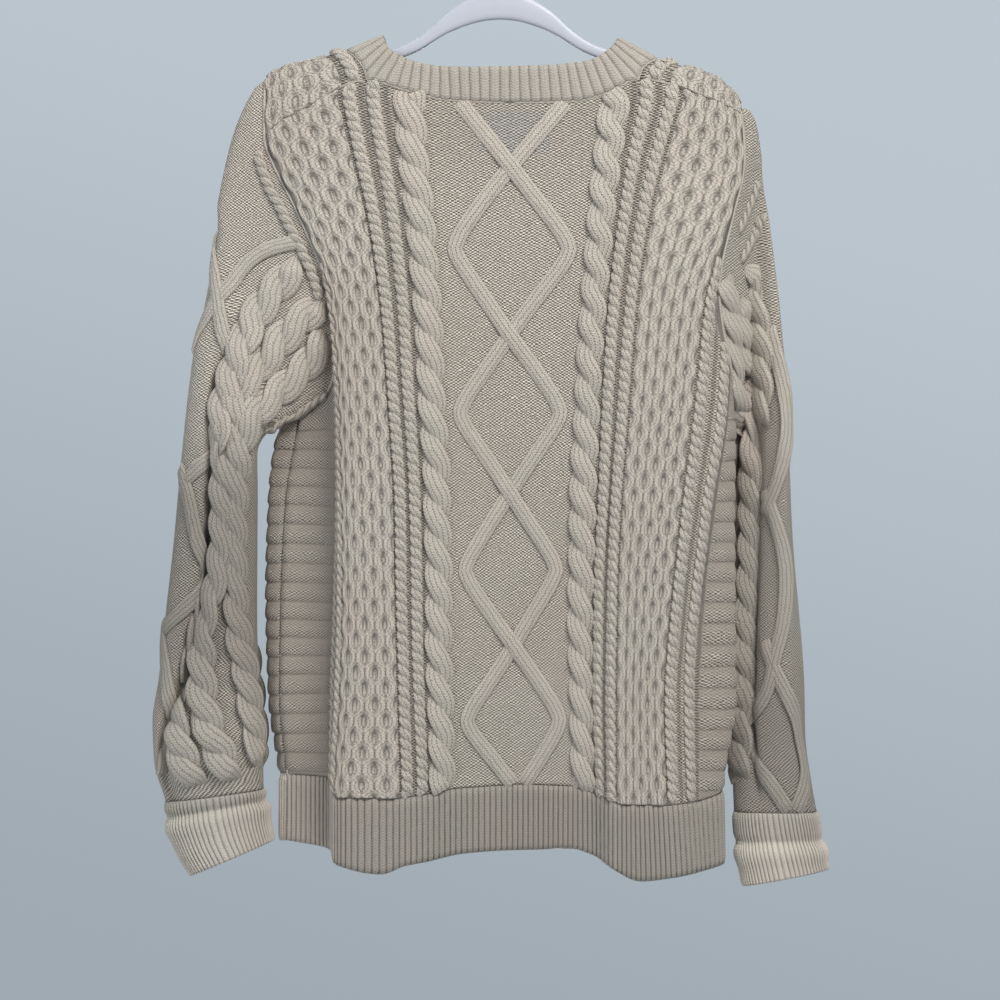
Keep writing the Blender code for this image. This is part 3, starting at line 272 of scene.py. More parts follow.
# yarn and stitches
yarn = {
    "cream": (0.728, 0.664, 0.574),
    "paleCream": (0.812, 0.765, 0.682),
    "gapShade": (0.150, 0.118, 0.082),
    "blush": (0.735, 0.605, 0.525),
    "moss": (0.640, 0.625, 0.520),
    "labelGrey": (0.560, 0.565, 0.575),
    "wale": 3.55 * mm,          # width of one stitch
    "course": 2.45 * mm,        # height of one stitch
    "stitchDeep": 0.85 * mm,
}


# how high the knitting stands, from 0 to 1, at a place u across and v along it
stitch = {
    "sway": 0.07, "swayAt": 0.25, "bump": (0.20, 0.75),                          # reverse stitches
    "slant": 0.8, "sides": 2.4, "sideDeep": 0.90, "sideLegs": 0.35,             # plain stitches
    "split": 4, "splitDeep": 0.25, "legs": 0.45,
    "ribSlant": 0.9, "ribSides": 5, "ribSplit": 5, "ribSplitDeep": 0.35,        # ribs
}


def purlHeight(u, v):  # the back of the stitches: two gaps to a stitch, set like bricks between the bumps
    row = v / yarn["course"]
    sway = (row - stitch["swayAt"]).cosTurns() * stitch["sway"]
    return (0.5 - (u / yarn["wale"] + sway).cosTurns() * row.cosTurns() * 0.5).ramp(*stitch["bump"])


def stitchColumn(u, v, slant):  # how far out in its column a place is, and how high its legs stand
    across = abs((u / yarn["wale"]).fract() - 0.5) * 2
    return across, (v / yarn["course"] - across * slant).cosTurns() * 0.5 + 0.5


def plainHeight(u, v):  # the face of the stitches: a column of slanting legs
    across, legs = stitchColumn(u, v, stitch["slant"])
    sides = 1 - across ** stitch["sides"] * (stitch["sideDeep"] - legs * stitch["sideLegs"])
    split = 1 - (1 - across) ** stitch["split"] * stitch["splitDeep"]
    return sides * split * (legs * stitch["legs"] + (1 - stitch["legs"]))


def ribHeight(u, v):  # a column of stitches with both its legs, and the furrow beside it
    across, legs = stitchColumn(u, v, stitch["ribSlant"])
    split = 1 - (1 - across) ** stitch["ribSplit"] * stitch["ribSplitDeep"]
    return (1 - across ** stitch["ribSides"]) * split * (legs * stitch["legs"] + (1 - stitch["legs"]))


# ridges across the sides of both panels, counted from the hem up; millimetres and shares of one welt
welts = {
    "pitch": 16.6, "leftPitch": 16.1, "rightPitch": 17.5, "hemDrop": 737.0, "firstDrop": 416.0,
    "height": 2.5, "from": 177.5, "rise": 3.5, "swerve": 3.0, "swerveAt": (2, 1.5),
    "below": 8.0, "belowReach": 10.0, "pitchFrom": 174.0, "pitchReach": 4.0, "stitchFrom": 176.5,
    "steepUp": 5.0, "steepDown": 9.0, "lowSide": 0.55, "lowReach": 1.6,
    "calm": (0.34, 0.50), "calmKeeps": 0.70, "calmHeight": 0.19, "furrow": (0.86, 0.99), "furrowDeep": 0.30,
}


def groundHeight(u, v):  # reverse stitch; each welt starts smooth and ends in rows of bumps
    side = abs(u).over(welts["stitchFrom"] * mm) * v.over(welts["firstDrop"] * mm)
    part = ((v - welts["hemDrop"] * mm) / (welts["pitch"] * mm)).fract()
    calm = (1 - part.ramp(*welts["calm"])) * side
    furrow = (abs(part - 0.5) * 2).ramp(*welts["furrow"]) * side
    bumps = purlHeight(u, v) * (1 - calm * welts["calmKeeps"]) + calm * welts["calmHeight"]
    return bumps * (1 - furrow * welts["furrowDeep"])


# painted shade and light on the wool: where it lies in shade, in metres for heights and depths, and how much
# light it loses there or gains on the hems
shade = {
    "grooves": (72.6, 84.5, 96.2, 147.0, 160.6, 175.6),     # millimetres from the middle of the panel
    "grooveHalf": 2.4, "grooveCore": 0.3, "grooveDark": 0.38,
    "side": (170.0, 182.0), "sideDark": 0.15,
    "shoulder": (-0.26, -0.14), "panelHigh": 0.17, "honeyHigh": 0.08, "honeyDeep": 0.42,
    "frontHem": 0.55, "hemFold": (-0.146, -0.136), "hemFoldPale": 0.26,
    "cuffCrease": (-2.5, 1.5), "cuffDark": 0.20,
    "sleeveHigh": (-0.50, -0.41), "sleeveLow": (-0.70, -0.60),
}


# painted shade: darker in the grooves beside the cables, towards the side seams and on the upper back
def panelPaintedShade(made, u, v):
    out, half = abs(u), shade["grooveHalf"] * mm
    deep = sum(1 - abs(out - at * mm).ramp(shade["grooveCore"] * half, half) for at in shade["grooves"])
    high = made.place()[2].ramp(*shade["shoulder"])
    side = 1 - out.ramp(*(edge * mm for edge in shade["side"])) * shade["sideDark"]
    return side * (1 - deep * shade["grooveDark"]) * (1 - high * shade["panelHigh"])


def honeyPaintedShade(made, u, v):  # painted shade: darker down in the cells and between strands that touch, and on the upper back
    hollow = made.wire(made.node("ShaderNodeAttribute", {"attribute_name": "hollow"}).outputs["Fac"])
    high = made.place()[2].ramp(*shade["shoulder"])
    return (1 - hollow * shade["honeyDeep"]) * (1 - high * shade["honeyHigh"])


def hemPaintedLight(made, u, v):  # painted light: paler on the front's hem and in the fold at the left end of the back's, where they lie in shade
    x, y, z = made.place()
    fold = 1 - x.ramp(*shade["hemFold"])
    return y.over(0.0) * shade["frontHem"] + 1.0 + fold * shade["hemFoldPale"]


# painted shade: each cuff is darker above its crease
def cuffPaintedShade(crease):
    low, high = shade["cuffCrease"]

    def tone(made, u, v):
        return v.ramp(crease + low * mm, crease + high * mm) * shade["cuffDark"] + (1 - shade["cuffDark"])
    return tone


def sleevePaintedShade(lowShade, cuffShade):  # painted shade: darker where the sleeve narrows, and again above its cuff
    def tone(made, u, v):
        z = made.place()[2]
        high = z.ramp(*shade["sleeveHigh"])
        low = 1 - z.ramp(*shade["sleeveLow"])
        return high * (1 - lowShade) + lowShade + low * (cuffShade - lowShade)
    return tone


# the label shows grey through the knitting of the back
labelShadow = {"s": 1.5, "drop": 179.0, "across": (21.0, 23.5), "down": (17.0, 19.5), "strength": 0.58}


def throughKnitting(made, u, v):
    behind = made.place()[1].under(0.0)
    across, down = ([edge * mm for edge in labelShadow[way]] for way in ("across", "down"))
    wide = 1 - abs(u - labelShadow["s"] * mm).ramp(*across)
    tall = 1 - abs(v - labelShadow["drop"] * mm).ramp(*down)
    return wide * tall * behind * labelShadow["strength"]


# noise scales with their detail and roughness, and how much of each colour they bring in
wool = {
    "rough": 0.92, "sheen": 0.25, "sheenRough": 0.45, "sheenTint": (1.0, 0.96, 0.90, 1), "shine": 0.15,
    "swayAcross": (150.0, 2.0, 0.5), "swayAlong": (130.0, 2.0, 0.5, (1.0, 1.0, 1.4)),
    "fuzz": (1400.0, 3.0, 0.7), "fuzzHigh": 0.6,
    "drift": (9.0, 2.0, 0.5), "driftFrom": (0.42, 0.62), "blush": 0.40,
    "patches": (17.0, 2.0, 0.5, (1.0, 1.0, 0.7)), "patchesFrom": (0.50, 0.68), "moss": 0.35,
    "fibres": (900.0, 2.0, 0.6), "fibresFrom": (0.35, 0.75), "paleFibres": 0.40,
    "mottle": (720.0, 2.0, 0.6), "mottleRange": 0.44, "mottleLow": 0.78, "gapCurve": 1.3,
}


def woolFinish(name, heightOf, deep=1.0, pale=0.0, paintedLightOf=None, base=1.0, gap=0.80, uneven=2.6):
    made = Finish(name, Roughness=wool["rough"], Specular_IOR_Level=wool["shine"], Sheen_Weight=wool["sheen"],
                  Sheen_Roughness=wool["sheenRough"], Sheen_Tint=wool["sheenTint"])
    u, v = made.uv()
    u = u + (made.noise(*wool["swayAcross"]) - 0.5) * (uneven * mm)
    v = v + (made.noise(*wool["swayAlong"]) - 0.5) * (uneven * mm)
    height = heightOf(u, v)
    fuzz = made.noise(*wool["fuzz"])
    drift = made.noise(*wool["drift"]).ramp(*wool["driftFrom"])
    patches = made.noise(*wool["patches"]).ramp(*wool["patchesFrom"])
    colour = made.blend(drift * wool["blush"], yarn["cream"], yarn["blush"])
    colour = made.blend(patches * wool["moss"], colour, yarn["moss"])
    colour = made.blend(pale, colour, yarn["paleCream"])
    if heightOf is groundHeight:
        colour = made.blend(throughKnitting(made, u, v), colour, yarn["labelGrey"])
    fibres = made.noise(*wool["fibres"]).ramp(*wool["fibresFrom"])
    colour = made.blend(fibres * wool["paleFibres"], colour, yarn["paleCream"])
    # painted shade: the gaps between the stitches are darkened towards the gap shade colour
    colour = made.blend(((1 - height) ** wool["gapCurve"]) * gap, colour, yarn["gapShade"])
    mottle = made.noise(*wool["mottle"]) * wool["mottleRange"] + wool["mottleLow"]
    # painted light and shade from the piece's tone
    tone = paintedLightOf(made, u, v) if paintedLightOf else 1.0
    colour = made.toned(colour, mottle * tone * base)
    return made.finish(colour, height + fuzz * wool["fuzzHigh"], yarn["stitchDeep"] * deep)


# painted shade for each sleeve: how dark its middle is, and its lowest part
leftPaintedShade, rightPaintedShade = sleevePaintedShade(0.62, 0.88), sleevePaintedShade(0.82, 0.66)
woolKinds = {
    # name: stitches, depth of the bump, share of pale wool, tone of painted light and shade, brightness
    # (partly painted shade, as on the darker hem), depth of the painted shade in the gaps
    "reverse knit wool": (groundHeight, 1.6, 0.0, panelPaintedShade, 1.17, 1.0),
    "cable knit wool": (plainHeight, 1.1, 0.0, None, 0.94, 0.95),
    "honeycomb wool": (plainHeight, 1.1, 0.0, honeyPaintedShade, 1.00, 0.90),
    "neckband wool": (ribHeight, 0.8, 0.15, None, 0.69, 0.68, 0.7),
    "hem wool": (ribHeight, 0.8, 0.0, hemPaintedLight, 0.59, 0.78, 0.7),
    "left sleeve wool": (purlHeight, 1.6, 0.0, leftPaintedShade, 1.22, 1.0),
    "left sleeve cable wool": (plainHeight, 1.1, 0.0, leftPaintedShade, 0.92, 0.85),
    "left cuff wool": (ribHeight, 0.8, 0.15, cuffPaintedShade(14.0 * mm), 0.89, 0.58, 0.7),
    "right sleeve wool": (purlHeight, 1.6, 0.0, rightPaintedShade, 1.12, 1.0),
    "right sleeve cable wool": (plainHeight, 1.1, 0.0, rightPaintedShade, 0.92, 0.85),
    "right cuff wool": (ribHeight, 0.8, 0.15, cuffPaintedShade(27.0 * mm), 0.97, 0.58, 0.7),
}
finishes = {name: woolFinish(name, *values) for name, values in woolKinds.items()}
print("yarn finishes made:", len(finishes))


# the garment's form
# t is the drop below the hook; s a place across a panel in relaxed knitting; q the path over the shoulder.
form = {
    "wall": 2.4, "seamGap": 0.4, "hemGap": 0.8, "seamEdge": 226.0, "underarm": 422.0,
    "shoulderS": 150.0, "honeyEdge": 146.0, "squeeze": 0.07, "underarmGap": 2.5,
    "ridgeDepth": 45.0, "ridgePath": 56.0, "settleFrom": 150.0, "settleOver": 90.0,
    "neckStrapS": 84.0, "neckStrapQ": 42.0, "ridgeLeft": 93.0, "ridgeRight": 84.5,
    "cornerLeft": 82.0, "cornerRight": 75.0, "mixHalf": 60.0, "pinchAbove": 10.0, "pinchReach": 28.0,
}
ridgeLeft = ((0, 132, 161, 183, 191, 199, 206, 211, 218, 226),
             (107, 107, 116, 121, 124.5, 130, 138, 145, 161, 176))
ridgeRight = ((0, 132, 161, 178, 187, 194, 200, 204, 208, 216),
              (111, 114, 121.5, 127.5, 132.5, 138.5, 145, 151, 161, 178))
armholeLine = ((150, 190, 260, 300, 340, 370, 395, 412, 422), (152, 152, 153, 157, 165, 175, 191, 212, 226))
strapRise = ((0, 0.25, 0.5), (0, 0.7, 1))     # how far the neck edge leans in, up the shoulder

backS = (-226, -177, -146, -97, -51, 0, 51, 72, 97, 146, 177, 205, 226)
backAcross = {
    # drop: seam, valley, fold, honey, cable, mid, cable, ropes, honey, fold, welt, side, seam
    150: (-250, -228, -209, -138, -61, 8.5, 82, 113, 156, 203, 214, 221, 226),
    201: (-240, -206, -191, -126, -58, 9, 78, 104, 141, 206, 213, 218, 222),
    252: (-225, -176, -167, -114, -54, 9, 74, 97, 129, 194, 205, 210, 213),
    320: (-200, -147, -142, -103, -49, 8.5, 69, 90, 118, 172, 197, 205, 208),
    405: (-171, -139, -135, -96, -46, 8.5, 64, 84, 111, 162, 194, 200, 198),
    490: (-183, -138, -133, -91, -42, 8.5, 59, 81, 104, 152, 183, 199, 196),
    575: (-187, -141, -132, -89, -41, 10, 58, 78, 100, 143, 173, 200, 196),
    660: (-188, -144, -134, -87, -40, 13, 60, 77, 99, 137, 168, 200, 197),
    733: (-182, -144, -138, -85, -38, 15, 62, 80, 99, 139, 168, 190, 187),
    815: (-183, -144, -138, -85, -38, 15, 62, 81, 99, 143, 172, 191, 188),
}
backDepth = {
    150: (6, 0, -14, -18, -18, -16, -18, -18, -18, -10, -2, 6, 20),
    201: (6, -4, -20, -25, -24, -22, -24, -25, -25, -14, -6, 6, 20),
    252: (4, -8, -26, -30, -28, -25, -28, -29, -31, -22, -10, 6, 20),
    320: (4, -8, -33, -34, -30, -26, -30, -33, -35, -32, -12, 6, 20),
    405: (4, -9, -38, -37, -31, -26, -31, -35, -38, -34, -20, 0, 20),
    490: (3, -10, -40, -38, -31, -26, -31, -34, -38, -34, -21, -2, 18),
    575: (2, -10, -42, -39, -31, -25, -30, -30, -37, -34, -20, -2, 17),
    660: (0, -10, -44, -41, -30, -24, -28, -27, -38, -37, -22, -2, 16),
    733: (0, -12, -45, -44, -28, -20, -26, -27, -42, -42, -24, -2, 15),
    815: (0, -14, -44, -45, -24, -16, -22, -26, -44, -44, -26, 0, 14),
}
frontS = (-226, -208, -190, -150, -100, -50, 0, 50, 100, 150, 190, 208, 226)
frontAcross = {
    # drop: seam, side, turn, welt, honey, cable, mid, cable, honey, welt, turn, side, seam
    200: (-220, -215, -209, -189, -124, -60, 9, 76, 139, 193, 207, 211, 216),
    280: (-192, -190, -187, -170, -113, -55, 9, 70, 128, 182, 196, 200, 204),
    350: (-172, -175, -177, -167, -110, -54, 7, 67, 125, 178, 192, 198, 202),
    405: (-171, -177, -183, -165, -108, -52, 6, 64, 122, 178, 194, 199, 198),
    448: (-176, -193, -193, -164, -107, -52, 6, 64, 121, 176, 193, 200, 197),
    490: (-183, -197, -196, -162, -107, -51, 7, 63, 119, 173, 192, 199, 196),
    575: (-187, -199, -195, -160, -106, -50, 8, 62, 116, 168, 190, 198, 196),
    660: (-188, -197, -191, -156, -104, -49, 8, 61, 114, 164, 188, 197, 197),
    733: (-182, -188, -183, -152, -103, -48, 8, 60, 112, 160, 183, 189, 187),
    815: (-183, -188, -182, -151, -102, -48, 8, 60, 112, 160, 184, 190, 188),
}
frontDepth = {
    200: (10, 18, 22, 25, 26, 26, 26, 26, 26, 25, 24, 22, 20),
    280: (8, 16, 22, 28, 31, 31, 30, 31, 31, 29, 27, 24, 20),
    350: (6, 14, 23, 33, 35, 32, 34, 32, 35, 36, 34, 28, 20),
    405: (4, 12, 23, 37, 38, 33, 37, 33, 38, 42, 40, 31, 20),
    448: (4, 10, 24, 38, 37, 34, 37, 34, 38, 42, 40, 31, 19),
    490: (3, 10, 26, 38, 36, 35, 36, 36, 37, 42, 40, 30, 18),
    575: (2, 10, 26, 38, 33, 38, 34, 39, 35, 42, 39, 30, 17),
    660: (0, 9, 25, 37, 30, 40, 33, 41, 32, 41, 38, 29, 16),
    733: (0, 8, 22, 36, 28, 41, 32, 42, 30, 39, 36, 28, 15),
    815: (0, 8, 22, 36, 27, 42, 31, 43, 29, 39, 36, 28, 14),
}
backTop = ((-150, -146, -115, -82, -60, -40, 0, 40, 55, 75, 110, 146, 150),
           (184, 181, 158, 134.5, 144, 151, 153, 152, 146, 133.5, 148, 163, 166))
backHem = ((-226, -178.5, -163, -145.5, -98, -74, -51, 0, 51, 74, 98, 145.5, 178.5, 202, 226),
           (725, 727, 733, 741, 742, 739, 735, 732, 733, 740, 747, 748, 746, 740, 733))
backBottom = ((-226, -177, -140, -110, -92, -72, -45, -15, 20, 45, 70, 90, 120, 150, 180, 226),
              (781, 788, 798, 805, 798, 795, 790, 788, 787, 785, 791, 800, 811, 808, 804, 797))
frontHem = ((-226, -145.5, -51, 0, 51, 145.5, 226), (725, 729, 733, 729, 734, 732, 733))
frontBottom = ((-226, -150, -50, 0, 50, 150, 226), (781, 786, 792, 787, 793, 790, 797))
frontNeck = ((0, 20, 40, 60, 75, 84), (228, 226, 214, 188, 160, 140))


tiny = 1e-9     # keeps a length of nothing from being divided by
touch = 0.01    # places nearer than this are one place


def unit(ways):
    return ways / np.maximum(np.linalg.norm(ways, axis=-1, keepdims=True), tiny)


def gone(points):  # how far along a line each of its points is
    return np.concatenate([[0], np.cumsum(np.linalg.norm(np.diff(points, axis=0), axis=1))])


def fourCorners(grid):
    return np.stack([grid[:-1, :-1], grid[:-1, 1:], grid[1:, 1:], grid[1:, :-1]], -1)


def ease(share):  # from 0 to 1 with soft ends
    return share * share * (3 - 2 * share)


def smoothCurve(xs, ys, at):  # monotone cubic: never swings past its points
    xs, ys = np.asarray(xs, float), np.asarray(ys, float)
    at = np.clip(np.asarray(at, float), xs[0], xs[-1])
    step = np.diff(xs)
    slope = np.diff(ys) / step
    tangent = np.zeros(len(xs))
    same = slope[:-1] * slope[1:] > 0
    heavy, light = 2 * step[1:] + step[:-1], step[1:] + 2 * step[:-1]
    safeA, safeB = np.where(same, slope[:-1], 1.0), np.where(same, slope[1:], 1.0)
    tangent[1:-1] = np.where(same, (heavy + light) / (heavy / safeA + light / safeB), 0.0)
    tangent[0], tangent[-1] = slope[0], slope[-1]
    i = np.clip(np.searchsorted(xs, at, side="right") - 1, 0, len(xs) - 2)
    h = step[i]
    f = (at - xs[i]) / h
    return (ys[i] * (1 + 2 * f) * (1 - f) ** 2 + tangent[i] * h * f * (1 - f) ** 2
            + ys[i + 1] * f * f * (3 - 2 * f) + tangent[i + 1] * h * f * f * (f - 1))


class Sections:  # a table of sections, read at any s and t
    def __init__(self, columns, rows, sStep=2.0, tStep=4.0):
        drops = np.array(sorted(rows), float)
        values = np.array([rows[t] for t in sorted(rows)], float)
        self.sStep, self.tStep = sStep, tStep
        self.s = np.arange(columns[0], columns[-1] + sStep, sStep)
        self.t = np.arange(drops[0], drops[-1] + tStep, tStep)
        down = np.array([smoothCurve(drops, values[:, i], self.t) for i in range(len(columns))])
        self.grid = np.array([smoothCurve(columns, down[:, j], self.s) for j in range(len(self.t))])

    def at(self, s, t):
        inside = 1.001     # stops just short of the last row, so that i + 1 is one too
        fs = np.clip((np.asarray(s, float) - self.s[0]) / self.sStep, 0, len(self.s) - inside)
        ft = np.clip((np.asarray(t, float) - self.t[0]) / self.tStep, 0, len(self.t) - inside)
        i, j = fs.astype(int), ft.astype(int)
        a, b, g = fs - i, ft - j, self.grid
        low = g[j, i] * (1 - a) + g[j, i + 1] * a
        high = g[j + 1, i] * (1 - a) + g[j + 1, i + 1] * a
        return low * (1 - b) + high * b


backX, backY = Sections(backS, backAcross), Sections(backS, backDepth)
frontX, frontY = Sections(frontS, frontAcross), Sections(frontS, frontDepth)


def ridgeDrop(x):
    x, half = np.asarray(x, float), form["mixHalf"]
    mix = np.clip((x + half) / (2 * half), 0, 1)
    return smoothCurve(*ridgeLeft, -x) * (1 - mix) + smoothCurve(*ridgeRight, x) * mix


def place3(x, y, t):
    return np.stack(np.broadcast_arrays(x, y, -np.asarray(t, float)), axis=-1)


def backPoint(s, t):
    x = backX.at(s, t)
    rise = np.clip((t - ridgeDrop(x)) / form["ridgeDepth"], 0, 1)
    return place3(x, backY.at(s, t) * np.sqrt(np.maximum(1 - (1 - rise) ** 2, 0)), t)


def backTopDrop(s):
    return smoothCurve(*backTop, s)


def strapX(s):
    return backX.at(s, backTopDrop(s))


def ridgeOver(s):
    return ridgeDrop(strapX(np.clip(s, -form["shoulderS"], form["shoulderS"])))


def frontDrop(s, q):
    over = np.clip(np.abs(q) / form["ridgePath"], 0, 1) * math.pi / 2
    below = np.maximum(np.abs(q) - form["ridgePath"], 0)
    return ridgeOver(s) + form["ridgeDepth"] * (1 - np.cos(over)) + below


def frontPoint(s, q):  # q is 0 on the shoulder ridge, positive down the front, negative down the back
    s, q = np.broadcast_arrays(np.asarray(s, float), np.asarray(q, float))
    over = np.clip(np.abs(q) / form["ridgePath"], 0, 1) * math.pi / 2
    t = frontDrop(s, q)
    settle = ease(np.clip((t - form["settleFrom"]) / form["settleOver"], 0, 1) * (q > 0))
    x = strapX(s) * (1 - settle) + frontX.at(s, t) * settle
    depth = np.where(q > 0, frontY.at(s, t), -backY.at(s, backTopDrop(s)))
    return place3(x, depth * np.sin(over) * np.sign(q), t)


def pathAtDrop(drop):
    bend = np.arccos(np.clip(1 - drop / form["ridgeDepth"], 0, 1)) * form["ridgePath"] / (math.pi / 2)
    return bend + np.maximum(drop - form["ridgeDepth"], 0)


def frontPath(s, t):
    return pathAtDrop(t - ridgeOver(s))


def seamPath(s):
    return -pathAtDrop(backTopDrop(s) - ridgeDrop(strapX(s)))


def armholeS(t):
    return smoothCurve(*armholeLine, t)


def cutByArmhole(s, t):
    near = np.clip(1 - np.abs(t - form["underarm"] + form["pinchAbove"]) / form["pinchReach"], 0, 1)
    edge = armholeS(t) - form["seamGap"] - form["underarmGap"] * near
    edge = edge - (form["seamEdge"] - np.abs(s)) * form["squeeze"]
    return np.sign(s) * np.where(np.abs(s) > form["honeyEdge"], np.minimum(np.abs(s), edge), np.abs(s))


class Back:  # level 0 is the hem seam, 1 the neck or shoulder seam; v is the drop
    point = staticmethod(backPoint)
    drop = staticmethod(lambda s, v: v)
    facing = 1
    top = 1.0

    @staticmethod
    def place(s0, level):
        topS = np.clip(s0, -form["shoulderS"], form["shoulderS"])
        low = np.interp(s0, *backHem) - form["hemGap"]
        high = backTopDrop(topS) + form["seamGap"]
        t = low + (high - low) * level
        return cutByArmhole(s0, t), t


class Front:  # level 0 is the hem seam, 1 the neck line, 2 the shoulder seam; v is the path q
    point = staticmethod(frontPoint)
    drop = staticmethod(frontDrop)
    facing = -1
    top = 2.0

    @staticmethod
    def place(s0, level):
        s0, level = np.broadcast_arrays(np.asarray(s0, float), np.asarray(level, float))
        out = np.abs(s0)
        strapS = form["neckStrapS"]
        hemQ = frontPath(s0, np.interp(s0, *frontHem) - form["hemGap"])
        neckQ = np.where(out < strapS, frontPath(s0, smoothCurve(*frontNeck, out) + form["seamGap"]),
                         form["neckStrapQ"])
        lowQ = hemQ + (neckQ - hemQ) * np.clip(level, 0, 1)
        up = np.clip(level - 1, 0, 1)
        corner = np.where(s0 < 0, form["cornerLeft"], form["cornerRight"])
        ridge = np.where(s0 < 0, form["ridgeLeft"], form["ridgeRight"])
        rise = np.interp(up, *strapRise) * (ridge - strapS)
        fall = ease(np.clip(2 * up - 1, 0, 1)) * (ridge - corner)
        hold = np.clip((form["shoulderS"] - out) / (form["shoulderS"] - strapS), 0, 1)
        endS = np.sign(s0) * np.minimum(out + (corner - strapS) * hold, form["shoulderS"])
        endQ = seamPath(endS) + form["seamGap"]
        s = np.sign(s0) * (out + (rise - fall) * hold)
        q = np.where(level <= 1, lowQ, form["neckStrapQ"] + (endQ - form["neckStrapQ"]) * up)
        return cutByArmhole(s, frontDrop(s, q)), q


def facesOf(side, s, v, h=2.0):  # unit normals, away from the garment's middle
    across = side.point(s + h, v) - side.point(s - h, v)
    down = side.point(s, v + h) - side.point(s, v - h)
    return unit(np.cross(down, across) * side.facing)


# meshes from grids
def meshObject(name, points, faces, uvs, material):
    mesh = bpy.data.meshes.new(name)
    mesh.from_pydata((points * mm).tolist(), [], [list(face) for face in faces])
    layer = mesh.uv_layers.new(name="knitMap")
    layer.data.foreach_set("uv", uvs.astype(np.float32).ravel())
    mesh.materials.append(material)
    piece = linked(name, mesh)
    shape = bmesh.new()
    shape.from_mesh(mesh)
    bmesh.ops.recalc_face_normals(shape, faces=shape.faces)
    if shape.calc_volume(signed=True) < 0:
        bmesh.ops.reverse_faces(shape, faces=shape.faces)
    shape.to_mesh(mesh)
    shape.free()
    mesh.shade_smooth()
    return piece


def sheetShell(name, outer, inner, uv, material, keep=None, wrap=False):  # two faces and the rim between them
    rows, cols = outer.shape[:2]
    count = rows * cols
    index = np.arange(count).reshape(rows, cols)
    uvIndex = np.arange(rows * uv.shape[1]).reshape(rows, uv.shape[1])
    if wrap:
        index = np.hstack([index, index[:, :1]])
    quads, uvQuads = fourCorners(index), fourCorners(uvIndex)
    if keep is not None:
        quads, uvQuads = quads[keep], uvQuads[keep]
    quads, uvQuads = quads.reshape(-1, 4), uvQuads.reshape(-1, 4)
    starts, ends = quads.ravel(), np.roll(quads, -1, axis=1).ravel()
    uvStarts, uvEnds = uvQuads.ravel(), np.roll(uvQuads, -1, axis=1).ravel()
    rim = ~np.isin(starts * count + ends, ends * count + starts)
    a, b, ua, ub = starts[rim], ends[rim], uvStarts[rim], uvEnds[rim]
    faces = np.vstack([quads, quads[:, ::-1] + count, np.stack([b, a, a + count, b + count], -1)])
    uvFaces = np.vstack([uvQuads, uvQuads[:, ::-1], np.stack([ub, ua, ua, ub], -1)])
    points = np.vstack([outer.reshape(-1, 3), inner.reshape(-1, 3)])
    used, faces = np.unique(faces, return_inverse=True)
    uvs = uv.reshape(-1, 2)[uvFaces].reshape(-1, 2)
    return meshObject(name, points[used], faces.reshape(-1, 4), uvs, material)


waves = {"count": 5, "across": 0.045, "along": 0.035, "turn": 6}


def wander(a, b, size, seed):  # soft unevenness from a few slow waves, the same each run
    ways = np.random.default_rng(seed).uniform(-1, 1, (waves["count"], 3))
    total = 0
    for k, (x, y, turn) in enumerate(ways):
        total = total + np.sin(a * x * waves["across"] + b * y * waves["along"] + turn * waves["turn"] + k)
    return total * size / waves["count"]


# cords of cloth for the cables
def cordTree():
    tree = bpy.data.node_groups.new("knit cord", "GeometryNodeTree")
    for name, kind in (("Geometry", "Geometry"), ("Sides", "Int"), ("Flatness", "Float"), ("Girth", "Float"),
                       ("Wool", "Material")):
        tree.interface.new_socket(name, in_out="INPUT", socket_type="NodeSocket" + kind)
    tree.interface.new_socket("Geometry", in_out="OUTPUT", socket_type="NodeSocketGeometry")

    def add(kind, settings=None, **sockets):
        return addNode(tree, kind, settings, **sockets)

    def attribute(name, kind):
        return add("GeometryNodeInputNamedAttribute", {"data_type": kind}, Name=name).outputs["Attribute"]

    def captured(geometry, name, value):
        made = add("GeometryNodeCaptureAttribute")
        made.capture_items.new("FLOAT", name)
        feed(tree, made.inputs["Geometry"], geometry)
        feed(tree, made.inputs[name], value)
        return made.outputs["Geometry"], made.outputs[name]

    start = add("NodeGroupInput").outputs
    curve = add("GeometryNodeMeshToCurve", i0=start["Geometry"])
    normal = add("GeometryNodeSetCurveNormal", {"mode": "FREE"}, Curve=curve.outputs[0],
                 Normal=attribute("clothFace", "FLOAT_VECTOR"))
    ring = add("GeometryNodeCurvePrimitiveCircle", Radius=1.0, Resolution=start["Sides"])
    squash = add("ShaderNodeCombineXYZ", X=start["Flatness"], Y=1.0, Z=1.0)
    flat = add("GeometryNodeTransform", Geometry=ring.outputs[0], Scale=squash.outputs[0])
    places = add("GeometryNodeSplineParameter").outputs
    profile, turnAt = captured(flat.outputs[0], "around", places["Factor"])
    route, lengthAt = captured(normal.outputs[0], "along", places["Length"])
    sweep = add("GeometryNodeCurveToMesh", Curve=route, Scale=attribute("halfWidth", "FLOAT"),
                **{"Profile Curve": profile, "Fill Caps": True})
    girth = add("ShaderNodeMath", {"operation": "MULTIPLY"}, i0=turnAt, i1=start["Girth"])
    pair = add("ShaderNodeCombineXYZ", X=girth.outputs[0], Y=lengthAt)
    store = add("GeometryNodeStoreNamedAttribute", {"data_type": "FLOAT2", "domain": "CORNER"},
                Name="knitMap", Geometry=sweep.outputs[0], Value=pair.outputs[0])
    smooth = add("GeometryNodeSetShadeSmooth", Geometry=store.outputs[0])
    real = add("GeometryNodeRealizeInstances", Geometry=smooth.outputs[0])
    paint = add("GeometryNodeSetMaterial", Geometry=real.outputs[0], Material=start["Wool"])
    add("NodeGroupOutput", Geometry=paint.outputs[0])
    return tree


knitCord = cordTree()


